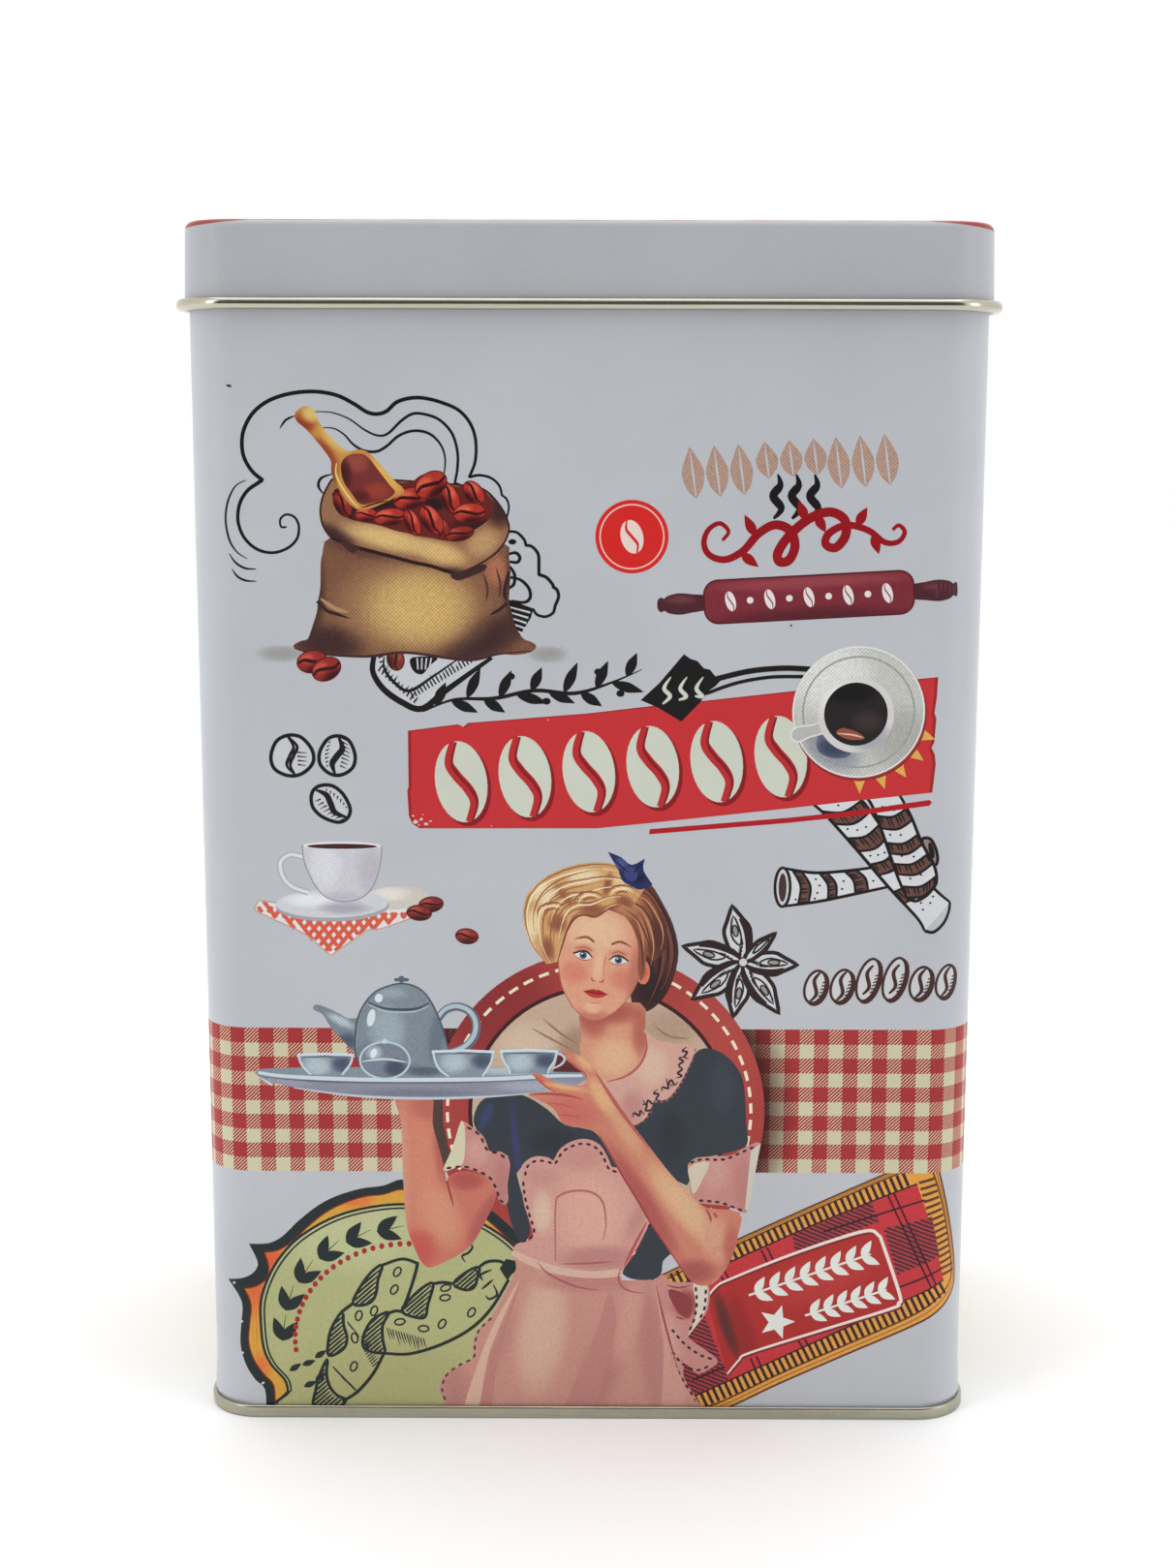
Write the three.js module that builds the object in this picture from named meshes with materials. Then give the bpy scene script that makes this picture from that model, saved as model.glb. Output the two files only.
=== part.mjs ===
// A rectangular tinplate coffee tin with a slip-on lid.
// Three sheet-metal pieces: the body wall, the base that is double-seamed to it, and the lid.
// Millimetres, +Z up. The origin is the middle of the footprint, on the surface the tin stands on,
// and the printed front panel faces -Y.
//
// Every piece is one sheet of constant thickness. Its section is a middle line in (out, z):
// out is the distance outside the body wall's outer face, so a negative value is inside the tin.
// The section is swept round the tin's rounded rectangle.

import * as THREE from "three";

// ---- driving dimensions ----
const WIDTH = 118.2;            // body wall, outside, left to right
const DEPTH = 80;               // body wall, outside, front to back
const HEIGHT = 183;             // standing height with the lid on
const CORNER_RADIUS = 7.5;      // upright edges of the body wall, outside
const SHEET = 0.22;             // tinplate thickness of all three pieces
const LAYER_GAP = 0.03;         // between neighbouring layers of the base seam

// ---- base seam and base panel ----
const SEAM_HEIGHT = 1.95;       // standing height of the base seam
const FOOT_BEND = 0.22;         // middle-line radius of the two bends under the seam
const BODY_FOLD_Z = 0.63;       // centre of the body wall's fold inside the seam
const BODY_HOOK_TOP = 1.45;     // upper edge of the body wall's hook
const END_HOOK_BOTTOM = 0.82;   // lower edge of the base's hook
const PANEL_RISE = 2.4;         // underside of the base panel above the standing surface
const PANEL_BEND = 0.5;         // middle-line radius where the panel turns into its upright wall
const BEAD_INSET = 9;           // base panel's stiffening step, in from the body wall
const BEAD_DROP = 0.7;          // how far the middle of the base panel steps down
const BEAD_RUN = 1.4;           // width of that step's slope

// ---- lid ----
const LID_HEIGHT = 12.85;       // top of the lid to the underside of its curl
const LID_FIT = 0.18;           // side clearance of the lid at its top
const LID_DRAFT = 0.3;          // how much wider the skirt is at its lower end, each side
const LID_REST_GAP = 0.05;      // lid's underside above the body wall's curl
const SHOULDER_RADIUS = 1.2;    // outside radius from the lid's top to its skirt
const CURL_HEIGHT = 1.75;       // lid's rolled lower edge, top to bottom
const CURL_REACH = 1.24;        // how far that roll stands out from the skirt
const CURL_SWEEP = 305;         // degrees that the lid's edge is rolled through
const LID_RIM = 4.2;            // lid's flat rim, in from the body wall's outer face
const LID_PANEL_DROP = 0.5;     // lid's middle panel below its rim
const LID_PANEL_RUN = 1.1;      // width of the slope between them

// ---- body wall's top edge and side seam ----
const MOUTH_CURL = 0.7;         // middle-line radius of the inward roll round the mouth
const MOUTH_SWEEP = 300;        // degrees that the mouth's edge is rolled through
const LOCK_HALF_WIDTH = 2.1;    // folded side seam, half its width
const LOCK_LAYERS = 0.44;       // how far its folded layers stand into the tin
const LOCK_START = 3.6;         // its folded layers begin at this height
const LOCK_END_DROP = 4.0;      // and end this far below the tin's top
const LOCK_RAMP = 0.6;          // height over which the layers fade out
const GROOVE_HALF_WIDTH = 0.35; // shallow line that the side seam leaves outside
const GROOVE_DEPTH = 0.07;

// ---- facets ----
const CORNER_STEPS = 7;         // facets round each upright edge
const FOLD_STEPS = 4;           // facets round each tight fold
const CURL_STEPS = 12;          // facets round each roll

const enamel = new THREE.MeshStandardMaterial({ name: "printed_enamel", color: 0xb9bcc1 });
enamel.roughness = 0.35;
enamel.metalness = 0.0;
const lidEnamel = new THREE.MeshStandardMaterial({ name: "lid_enamel", color: 0x963c37 });
lidEnamel.roughness = 0.35;
lidEnamel.metalness = 0.0;
const tinplate = new THREE.MeshStandardMaterial({ name: "bare_tinplate", color: 0xa1a090 });
tinplate.roughness = 0.3;
tinplate.metalness = 1.0;

// ---- the rounded rectangle ----

// One station of the outline: a point on the body wall's outer face and its outward normal.
function station(x, y, angle, across = Infinity) {
  return { x, y, nx: Math.cos(angle), ny: Math.sin(angle), across };
}

// Stations counterclockwise round the tin, from the middle of the right-hand side.
// Stations that lie on the side seam know how far across it they are.
function outline(withSideSeam) {
  const stations = [];
  const seamPlaces = [0.1, GROOVE_HALF_WIDTH, LOCK_HALF_WIDTH - 0.25, LOCK_HALF_WIDTH];
  if (withSideSeam) {
    seamPlaces.forEach((y) => stations.push(station(WIDTH / 2, y, 0, y)));
  }
  const corners = [[1, 1], [-1, 1], [-1, -1], [1, -1]];
  corners.forEach(([sx, sy], corner) => {
    const centreX = sx * (WIDTH / 2 - CORNER_RADIUS);
    const centreY = sy * (DEPTH / 2 - CORNER_RADIUS);
    for (let step = 0; step <= CORNER_STEPS; step += 1) {
      const angle = (corner + step / CORNER_STEPS) * Math.PI / 2;
      const x = centreX + CORNER_RADIUS * Math.cos(angle);
      const y = centreY + CORNER_RADIUS * Math.sin(angle);
      stations.push(station(x, y, angle));
    }
  });
  if (withSideSeam) {
    seamPlaces.slice().reverse().forEach((y) => stations.push(station(WIDTH / 2, -y, 0, y)));
  }
  return stations;
}

// ---- sections ----

// Points of an arc in (out, z), from one angle to another in degrees.
function arc(out, z, radius, from, to, steps, radiusZ = radius) {
  const points = [];
  for (let step = 0; step <= steps; step += 1) {
    const angle = THREE.MathUtils.degToRad(from + (to - from) * step / steps);
    points.push(new THREE.Vector2(out + radius * Math.cos(angle), z + radiusZ * Math.sin(angle)));
  }
  return points;
}

function at(out, z) {
  return new THREE.Vector2(out, z);
}

// The two faces of a sheet, each half a thickness from its middle line, mitred at the bends.
function faces(middle) {
  const right = [];
  const left = [];
  middle.forEach((point, index) => {
    const before = middle[Math.max(index - 1, 0)];
    const after = middle[Math.min(index + 1, middle.length - 1)];
    const along = point.clone().sub(index ? before : after).multiplyScalar(index ? 1 : -1).normalize();
    const next = after.clone().sub(index < middle.length - 1 ? point : before).normalize();
    const bisector = along.clone().add(next).normalize();
    const reach = SHEET / 2 / bisector.dot(along);
    const side = new THREE.Vector2(bisector.y, -bisector.x).multiplyScalar(reach);
    right.push(point.clone().add(side));
    left.push(point.clone().sub(side));
  });
  return { right, left };
}

// ---- sweeping a section round the tin ----

function positionsOf(rings, stations, shift) {
  const positions = [];
  rings.forEach((ring) => {
    stations.forEach((s) => {
      const out = ring.x + shift(ring, s);
      positions.push(s.x + out * s.nx, s.y + out * s.ny, ring.y);
    });
  });
  return positions;
}

function bandTriangles(firstRing, secondRing, count) {
  const triangles = [];
  for (let j = 0; j < count; j += 1) {
    const k = (j + 1) % count;
    const a = firstRing * count + j;
    const b = firstRing * count + k;
    const c = secondRing * count + k;
    const d = secondRing * count + j;
    triangles.push(a, b, c, a, c, d);
  }
  return triangles;
}

function geometryOf(positions, triangles) {
  const geometry = new THREE.BufferGeometry();
  geometry.setAttribute("position", new THREE.Float32BufferAttribute(positions, 3));
  geometry.setIndex(triangles);
  geometry.computeVertexNormals();
  return geometry;
}

// A sheet that closes round the tin but is open above and below, such as the body wall.
function sleeve(middle, stations, shift) {
  const { right, left } = faces(middle);
  right.forEach((ring) => { ring.face = "outside"; });
  left.forEach((ring) => { ring.face = "inside"; });
  const rings = [...right, ...left.reverse()];
  const triangles = [];
  rings.forEach((ring, index) => {
    triangles.push(...bandTriangles(index, (index + 1) % rings.length, stations.length));
  });
  return geometryOf(positionsOf(rings, stations, shift), triangles);
}

// A sheet whose middle line starts at a flat panel, such as the base and the lid.
function tray(middle, stations) {
  const { right, left } = faces(middle);
  const rings = [...right, ...left.reverse()];
  const positions = positionsOf(rings, stations, () => 0);
  const triangles = [];
  for (let index = 0; index < rings.length - 1; index += 1) {
    triangles.push(...bandTriangles(index, index + 1, stations.length));
  }
  const count = stations.length;
  const lowerCentre = positions.length / 3;
  positions.push(0, 0, rings[0].y);
  const upperCentre = lowerCentre + 1;
  positions.push(0, 0, rings[rings.length - 1].y);
  const lastRing = (rings.length - 1) * count;
  for (let j = 0; j < count; j += 1) {
    const k = (j + 1) % count;
    triangles.push(lowerCentre, k, j);
    triangles.push(upperCentre, lastRing + j, lastRing + k);
  }
  return geometryOf(positions, triangles);
}

// ---- where the seam's layers lie, as middle lines ----
const WALL_OUT = -SHEET / 2;
const CHUCK_OUT = WALL_OUT - SHEET - LAYER_GAP;
const END_HOOK_OUT = WALL_OUT + SHEET + LAYER_GAP;
const BODY_HOOK_OUT = END_HOOK_OUT + SHEET + LAYER_GAP;
const SEAM_WALL_OUT = BODY_HOOK_OUT + SHEET + LAYER_GAP;
const FOLD_RADIUS = (BODY_HOOK_OUT - WALL_OUT) / 2;

// ---- the pieces ----

// Body wall: one sheet bent round the tin. Its lower edge is hooked into the base seam, its upper
// edge is rolled inwards round the mouth, and its two ends are locked together on the right side.
function bodyWall() {
  const underLid = HEIGHT - SHEET - LID_REST_GAP;
  const curlOut = WALL_OUT - MOUTH_CURL;
  const curlZ = underLid - MOUTH_CURL - SHEET / 2;
  const lockEnd = HEIGHT - LOCK_END_DROP;
  const middle = [
    at(BODY_HOOK_OUT, BODY_HOOK_TOP),
    ...arc((WALL_OUT + BODY_HOOK_OUT) / 2, BODY_FOLD_Z, FOLD_RADIUS, 0, -180, FOLD_STEPS),
    at(WALL_OUT, LOCK_START),
    at(WALL_OUT, LOCK_START + LOCK_RAMP),
    at(WALL_OUT, lockEnd - LOCK_RAMP),
    at(WALL_OUT, lockEnd),
    ...arc(curlOut, curlZ, MOUTH_CURL, 0, MOUTH_SWEEP, CURL_STEPS),
  ];
  // The folded layers thicken the wall inwards, and leave a shallow line outside.
  const shift = (ring, s) => {
    const onSeam = ring.y > LOCK_START + LOCK_RAMP / 2 && ring.y < lockEnd - LOCK_RAMP / 2;
    if (!onSeam) {
      return 0;
    }
    if (ring.face === "outside") {
      return s.across < GROOVE_HALF_WIDTH ? -GROOVE_DEPTH : 0;
    }
    return s.across < LOCK_HALF_WIDTH ? -LOCK_LAYERS : 0;
  };
  return sleeve(middle, outline(true), shift);
}

// Base: a recessed panel with a stiffening step, and an edge that wraps the body wall's hook.
function base() {
  const panelZ = PANEL_RISE + SHEET / 2;
  const footZ = SHEET / 2;
  const topFoldZ = SEAM_HEIGHT - SHEET / 2 - FOLD_RADIUS;
  const middle = [
    at(-BEAD_INSET - BEAD_RUN, panelZ - BEAD_DROP),
    at(-BEAD_INSET, panelZ),
    ...arc(CHUCK_OUT - PANEL_BEND, panelZ - PANEL_BEND, PANEL_BEND, 90, 0, FOLD_STEPS),
    ...arc(CHUCK_OUT + FOOT_BEND, footZ + FOOT_BEND, FOOT_BEND, 180, 270, FOLD_STEPS),
    ...arc(SEAM_WALL_OUT - FOOT_BEND, footZ + FOOT_BEND, FOOT_BEND, 270, 360, FOLD_STEPS),
    ...arc((END_HOOK_OUT + SEAM_WALL_OUT) / 2, topFoldZ, FOLD_RADIUS, 0, 180, FOLD_STEPS),
    at(END_HOOK_OUT, END_HOOK_BOTTOM),
  ];
  return tray(middle, outline(false));
}

// Lid: a flat rim round a slightly sunk panel, a drafted skirt, and a lower edge rolled outwards.
function lid() {
  const rimZ = HEIGHT - SHEET / 2;
  const shoulder = SHOULDER_RADIUS - SHEET / 2;
  const skirtTop = LID_FIT + SHEET / 2;
  const skirtBottom = skirtTop + LID_DRAFT;
  const curlHalfWidth = (CURL_REACH + SHEET) / 2 - SHEET / 2;
  const curlHalfHeight = CURL_HEIGHT / 2 - SHEET / 2;
  const curlZ = HEIGHT - LID_HEIGHT + CURL_HEIGHT / 2;
  const middle = [
    at(-LID_RIM - LID_PANEL_RUN, rimZ - LID_PANEL_DROP),
    at(-LID_RIM, rimZ),
    ...arc(skirtTop - shoulder, rimZ - shoulder, shoulder, 90, 0, FOLD_STEPS),
    ...arc(skirtBottom + curlHalfWidth, curlZ, curlHalfWidth, 180, 180 + CURL_SWEEP, CURL_STEPS, curlHalfHeight),
  ];
  return tray(middle, outline(false));
}

function piece(name, geometry, material) {
  const mesh = new THREE.Mesh(geometry, material);
  mesh.name = name;
  return mesh;
}

const tin = new THREE.Group();
tin.add(piece("body_wall", bodyWall(), enamel));
tin.add(piece("base", base(), tinplate));
tin.add(piece("lid", lid(), lidEnamel));

export default tin;
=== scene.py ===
"""A printed tinplate coffee tin: a drawn lid, a body wall with its printed enamel, and a seamed base.

Everything is drawn in millimetres in the tin's own frame and scaled to metres when a mesh is made.
Sheet metal is a middle line in (out, z) given a thickness and swept round the tin, where out is
the distance outside the body wall's outer face. The print is a layered drawing on the unrolled
wall, cut into triangles along its outlines, so that every edge in it is a real edge.
"""
import math
import random

import bpy
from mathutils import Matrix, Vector
from mathutils.geometry import delaunay_2d_cdt


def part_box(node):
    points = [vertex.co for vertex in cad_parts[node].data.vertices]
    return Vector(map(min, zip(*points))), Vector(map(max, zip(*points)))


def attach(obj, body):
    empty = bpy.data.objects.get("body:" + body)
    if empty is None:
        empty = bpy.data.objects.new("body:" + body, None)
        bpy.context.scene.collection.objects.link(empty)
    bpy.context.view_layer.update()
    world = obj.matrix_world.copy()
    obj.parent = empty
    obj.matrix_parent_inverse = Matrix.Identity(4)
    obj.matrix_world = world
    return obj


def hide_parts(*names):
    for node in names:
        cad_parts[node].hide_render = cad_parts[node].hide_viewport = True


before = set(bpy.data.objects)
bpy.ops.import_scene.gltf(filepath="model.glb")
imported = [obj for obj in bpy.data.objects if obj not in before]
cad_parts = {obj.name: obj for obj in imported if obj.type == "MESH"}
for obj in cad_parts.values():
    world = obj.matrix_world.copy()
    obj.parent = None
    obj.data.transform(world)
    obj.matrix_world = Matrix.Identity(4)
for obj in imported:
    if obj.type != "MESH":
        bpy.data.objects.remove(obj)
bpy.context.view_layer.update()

# ---------------------------------------------------------------- sizes, in millimetres
MM = 0.001                  # metres in a millimetre
SHEET = 0.22                # thickness of the tinplate
GAP = 0.03                  # between the layers of sheet in the base seam
CORNER = 7.5                # radius of the wall's corners, outer face
HOOK_OUT = -SHEET / 2 + 2 * (SHEET + GAP) + SHEET / 2     # body wall's hook, outer face
SEAM_TOP = 1.95             # top of the base seam
PANEL_RISE = 2.4            # the edge of the base's panel stands this far above the table
ROLL_HEIGHT = 1.75          # height of the lid's rolled edge
ROLL_REACH = 1.24           # and how far it stands out from the skirt
SHOULDER = 1.2              # radius between the lid's top and its skirt, outer face
LID_FIT = 0.18              # gap from the wall to the skirt, at the skirt's top
LID_DRAFT = 0.3             # the skirt is this much farther out at its foot
LID_RIM = 4.2               # inner edge of the lid's flat rim, in from the wall's face
LID_PANEL_DROP = 0.5        # how deep the lid's panel is sunk
LID_PANEL_RUN = 1.1         # and the width of the slope down to it
MOUTH_ROLL = 0.7            # radius of the roll round the wall's mouth
LOCK_HALF = 2.1             # half the width of the side seam's layers, inside
LOCK_LAYERS = 0.44          # and how much they thicken the wall
GROOVE_HALF = 0.35          # half the width of the line that the side seam leaves outside
GROOVE_DEPTH = 0.07         # and its depth
FLARE = 0.4                 # how far the wall's corners spread just above the base seam
FILM_OUT = 0.015            # the print's face stands this far outside the wall
FILM_IN = -0.03             # and its back is this far inside it
UNDER_PRINT = 0.02          # the sheet gives way to the print by this much
# the wall is cut at these levels, which lie close together where its corners spread
FOOT_LEVELS = [1.2, SEAM_TOP, 2.3, 2.7, 3.2, 3.6, 4.2, 5.5, 7.0, 9.0]

wall_box = [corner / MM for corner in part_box("body_wall")]
lid_box = [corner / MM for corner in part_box("lid")]
HALF_WIDTH = wall_box[1].x - HOOK_OUT
HALF_DEPTH = wall_box[1].y - HOOK_OUT
HEIGHT = lid_box[1].z
LID_FOOT = lid_box[0].z
FLAT_X = HALF_WIDTH - CORNER
FLAT_Y = HALF_DEPTH - CORNER
BEND_STEP = 5.0                         # degrees between the cuts where the wall bends
FRONT_TURN = 65.0                       # the front print goes so far round each corner
SIDE_TURN = 90.0 - FRONT_TURN           # and the side print covers the rest
FRONT_END = FLAT_X + CORNER * math.radians(FRONT_TURN)
SIDE_END = FLAT_Y + CORNER * math.radians(SIDE_TURN)
LOCK_FOOT = 3.9             # the side seam's folded layers show between these levels
LOCK_TOP = HEIGHT - 4.3
PRINT_FOOT = 1.0            # the print starts behind the base seam
PRINT_TOP = HEIGHT - 2.6    # and ends under the lid

# the grey card behind the camera, in metres
CARD_DISTANCE = 0.9         # from the middle of the tin
CARD_HALF_WIDTH = 0.8
CARD_FOOT = 0.02
CARD_TOP = 1.0

dice = random.Random(11)


# ---------------------------------------------------------------- camera, floor and light
def make_camera():
    """The tin stands almost square to the camera, which looks down on it by nine degrees."""
    data = bpy.data.cameras.new("camera")
    data.lens = 50.4
    data.sensor_width = 36.0
    data.shift_x = -0.0084
    data.shift_y = 0.0034
    camera = bpy.data.objects.new("camera", data)
    camera.location = Vector((2.9, -HALF_DEPTH - 324.8, 152.8)) * MM
    camera.rotation_euler = [math.radians(angle) for angle in (90.0 - 9.245, -0.164, 0.189)]
    bpy.context.collection.objects.link(camera)
    bpy.context.scene.camera = camera


def studio_piece(name, corners, material_name, colour, specular):
    """One dull flat face that belongs to the studio, not to the tin."""
    mesh = bpy.data.meshes.new(name)
    mesh.from_pydata(corners, [], [list(range(len(corners)))])
    piece = bpy.data.objects.new(name, mesh)
    bpy.context.collection.objects.link(piece)
    material = bpy.data.materials.new(material_name)
    material.use_nodes = True
    shader = material.node_tree.nodes["Principled BSDF"]
    shader.inputs["Base Color"].default_value = (*colour, 1.0)
    shader.inputs["Roughness"].default_value = 0.9
    shader.inputs["Specular IOR Level"].default_value = specular
    mesh.materials.append(material)
    return piece


def make_floor():
    """A wide pale disc that ends at the grey card, so that nothing behind the card is in its shade."""
    steps = 96
    radius = 6.0
    turns = [2 * math.pi * i / steps for i in range(steps)]
    rim = [(radius * math.cos(turn), max(radius * math.sin(turn), -CARD_DISTANCE), 0.0) for turn in turns]
    floor = studio_piece("floor", rim, "floor_paper", (0.965, 0.965, 0.965), 0.1)


def area_light(name, place, aim, size, watts):
    data = bpy.data.lights.new(name, "AREA")
    data.shape = "RECTANGLE"
    data.size, data.size_y = size
    data.energy = watts
    light = bpy.data.objects.new(name, data)
    light.location = place
    light.rotation_euler = (Vector(aim) - Vector(place)).to_track_quat("-Z", "Y").to_euler()
    bpy.context.collection.objects.link(light)


def make_light():
    """A white room, three soft boxes, and a grey card behind the camera that keeps the glare off."""
    world = bpy.data.worlds.new("white_room")
    world.use_nodes = True
    world.node_tree.nodes["Background"].inputs["Color"].default_value = (1.0, 1.0, 1.0, 1.0)
    world.node_tree.nodes["Background"].inputs["Strength"].default_value = 1.05
    bpy.context.scene.world = world
    area_light("overhead", (0.0, 0.1, 1.3), (0.0, 0.0, 0.1), (1.2, 1.2), 7.0)
    area_light("front_left", (-0.9, -0.9, 0.55), (0.0, 0.0, 0.09), (0.5, 0.9), 3.2)
    area_light("front_right", (1.1, -0.6, 0.35), (0.0, 0.0, 0.09), (0.4, 0.8), 1.5)
    corners = [(-CARD_HALF_WIDTH, 0.0, CARD_FOOT), (-CARD_HALF_WIDTH, 0.0, CARD_TOP),
               (CARD_HALF_WIDTH, 0.0, CARD_TOP), (CARD_HALF_WIDTH, 0.0, CARD_FOOT)]
    card = studio_piece("card", corners, "grey_card", (0.07, 0.07, 0.075), 0.5)
    card.location = (0.0, -CARD_DISTANCE, 0.0)
    card.visible_camera = False
    bpy.context.scene.view_settings.view_transform = "Standard"


# ---------------------------------------------------------------- colours of the print
ENAMEL = (190, 193, 198)
LID_ENAMEL = (180, 181, 186)
LID_RED = (150, 52, 48)
BLACK = (24, 19, 21)
PAPER = (200, 203, 207)
FLOURISH = (150, 17, 28)
BANNER = (198, 48, 52)
BANNER_EDGE = (150, 30, 36)
CREAM = (206, 211, 196)
CHECK_RED = (164, 48, 50)
CHECK_CREAM = (206, 200, 170)
THREAD_LIGHT = (232, 198, 166)
THREAD_DARK = (146, 38, 44)
CHECK_PITCH = 4.465         # the gingham repeats after this, and a little more upwards
CHECK_START = -54.7         # left edge of a red column
CHECK_COLUMN = 0.51         # the red columns' and rows' share of it
CHECK_ROW = 0.52
THREAD_PITCH = 0.56         # the slanting threads, from one to the next along the band
THREAD_SHARE = 0.36         # the light threads' share of it
CLOTH_TOP = 62.9            # upper and lower edge of the gingham band
CLOTH_FOOT = 40.1
CHECK_RISE = (CLOTH_TOP - CLOTH_FOOT) / 5
DOT_PITCH = 0.566           # the printer's dots, from one to the next
DOT_DEPTH = 0.17            # and how strong they are
MOTTLE = 0.07               # uneven ink


# ---------------------------------------------------------------- sheet metal
class Station:
    """One upright line of the tin: a point on the wall's outer face, and its outward normal."""

    def __init__(self, x, y, angle, corner=0.0, across=99.0):
        self.x = x
        self.y = y
        self.nx = math.cos(angle)
        self.ny = math.sin(angle)
        self.corner = corner            # 1 halfway round a corner, 0 on the flats
        self.across = across            # distance from the middle of the side seam

    def at(self, out, z):
        return (self.x + out * self.nx, self.y + out * self.ny, z)


def tin_outline(corner_steps=18, flat_steps=8, side_seam=False):
    """Stations counterclockwise round the tin, from the middle of the right-hand side."""
    stations = []
    seam_places = [0.1, GROOVE_HALF, LOCK_HALF - 0.25, LOCK_HALF] if side_seam else [0.1]
    stations += [Station(HALF_WIDTH, y, 0.0, across=y) for y in seam_places]
    for corner, (sx, sy) in enumerate([(1, 1), (-1, 1), (-1, -1), (1, -1)]):
        start = corner * math.pi / 2
        for step in range(corner_steps + 1):
            turn = step / corner_steps
            angle = start + turn * math.pi / 2
            x = sx * FLAT_X + CORNER * math.cos(angle)
            y = sy * FLAT_Y + CORNER * math.sin(angle)
            stations.append(Station(x, y, angle, corner=math.sin(turn * math.pi)))
        length = 2 * (FLAT_X if corner % 2 == 0 else FLAT_Y)
        if corner == 3:
            break
        last = stations[-1]
        for step in range(1, flat_steps):
            run = length * step / flat_steps
            x = last.x - run * last.ny
            y = last.y + run * last.nx
            stations.append(Station(x, y, start + math.pi / 2))
    stations += [Station(HALF_WIDTH, -y, 0.0, across=y) for y in reversed(seam_places)]
    return stations


def arc(out, z, radius, start, end, steps, radius_z=None):
    """Points of an arc in (out, z), from one angle to another in degrees."""
    radius_z = radius if radius_z is None else radius_z
    turns = [math.radians(start + (end - start) * i / steps) for i in range(steps + 1)]
    return [(out + radius * math.cos(t), z + radius_z * math.sin(t)) for t in turns]


def sheet_faces(middle):
    """The two faces of a sheet, each half a thickness from its middle line, mitred at the bends."""
    right, left = [], []
    for i, point in enumerate(middle):
        here = Vector(point)
        before = Vector(middle[i - 1]) if i else here
        after = Vector(middle[i + 1]) if i + 1 < len(middle) else here
        arriving = (here - before if i else after - here).normalized()
        leaving = (after - here if i + 1 < len(middle) else here - before).normalized()
        bend = (arriving + leaving).normalized()
        side = Vector((bend.y, -bend.x)) * (SHEET / 2 / bend.dot(arriving))
        right.append(tuple(here + side))
        left.append(tuple(here - side))
    return right, left


def ease(t):
    t = min(max(t, 0.0), 1.0)
    return t * t * (3 - 2 * t)


def corner_flare(corner, z):
    """The wall's corners spread a little just above the base seam, where the seam pulled on them."""
    if z < SEAM_TOP or z > 10.0:
        return 0.0
    return FLARE * ease(corner * 1.2) * ease((z - SEAM_TOP) / 0.8) * (1 - ease((z - 2.7) / 7.0))


def new_object(name, vertices, faces, materials, material_of=None, sharp=32.0):
    """A mesh object from millimetre vertices."""
    mesh = bpy.data.meshes.new(name)
    mesh.from_pydata([(x * MM, y * MM, z * MM) for x, y, z in vertices], [], faces)
    for material in materials:
        mesh.materials.append(material)
    if material_of:
        mesh.polygons.foreach_set("material_index", material_of)
    mesh.shade_smooth()
    if sharp:
        mesh.set_sharp_from_angle(angle=math.radians(sharp))
    mesh.update()
    piece = bpy.data.objects.new(name, mesh)
    bpy.context.collection.objects.link(piece)
    return piece


def sweep(name, right, left, stations, materials, shift=None, closed=False):
    """Sweeps a sheet's two faces round the tin. The right face takes the first material.

    A closed sheet is a sleeve. An open one is a tray, whose first points are joined across the
    middle by rings that shrink to a point.
    """
    rings = [(point, 0) for point in right] + [(point, 1) for point in reversed(left)]
    count = len(stations)
    vertices = []
    for (out, z), side in rings:
        vertices += [s.at(out + (shift(s, side, z) if shift else 0.0), z) for s in stations]
    faces = []
    sides = []
    pairs = len(rings) if closed else len(rings) - 1
    for i in range(pairs):
        k = (i + 1) % len(rings)
        for j in range(count):
            n = (j + 1) % count
            faces.append((i * count + j, i * count + n, k * count + n, k * count + j))
            sides.append(rings[i][1])
    open_ends = () if closed else ((0, 0), (len(rings) - 1, 1))
    for ring_index, side in open_ends:
        outer = [ring_index * count + j for j in range(count)]
        level = vertices[outer[0]][2]
        for shrink in (0.75, 0.5, 0.25, 0.0):
            inner = list(range(len(vertices), len(vertices) + count))
            if shrink:
                vertices += [(vertices[j][0] * shrink, vertices[j][1] * shrink, level)
                             for j in range(ring_index * count, ring_index * count + count)]
            else:
                inner = [len(vertices)] * count
                vertices.append((0.0, 0.0, level))
            for j in range(count):
                n = (j + 1) % count
                face = (outer[j], outer[n], inner[n], inner[j]) if shrink else (outer[j], outer[n], inner[j])
                faces.append(face if side else face[::-1])
                sides.append(side)
            outer = inner
    return new_object(name, vertices, faces, materials, sides)


# the layers of sheet in the base seam: how far out the middle of each one is
WALL = -SHEET / 2
CHUCK = WALL - SHEET - GAP
END_HOOK = WALL + SHEET + GAP
BODY_HOOK = END_HOOK + SHEET + GAP
SEAM_WALL = BODY_HOOK + SHEET + GAP
FOLD = (BODY_HOOK - WALL) / 2            # radius of the folds between them


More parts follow.
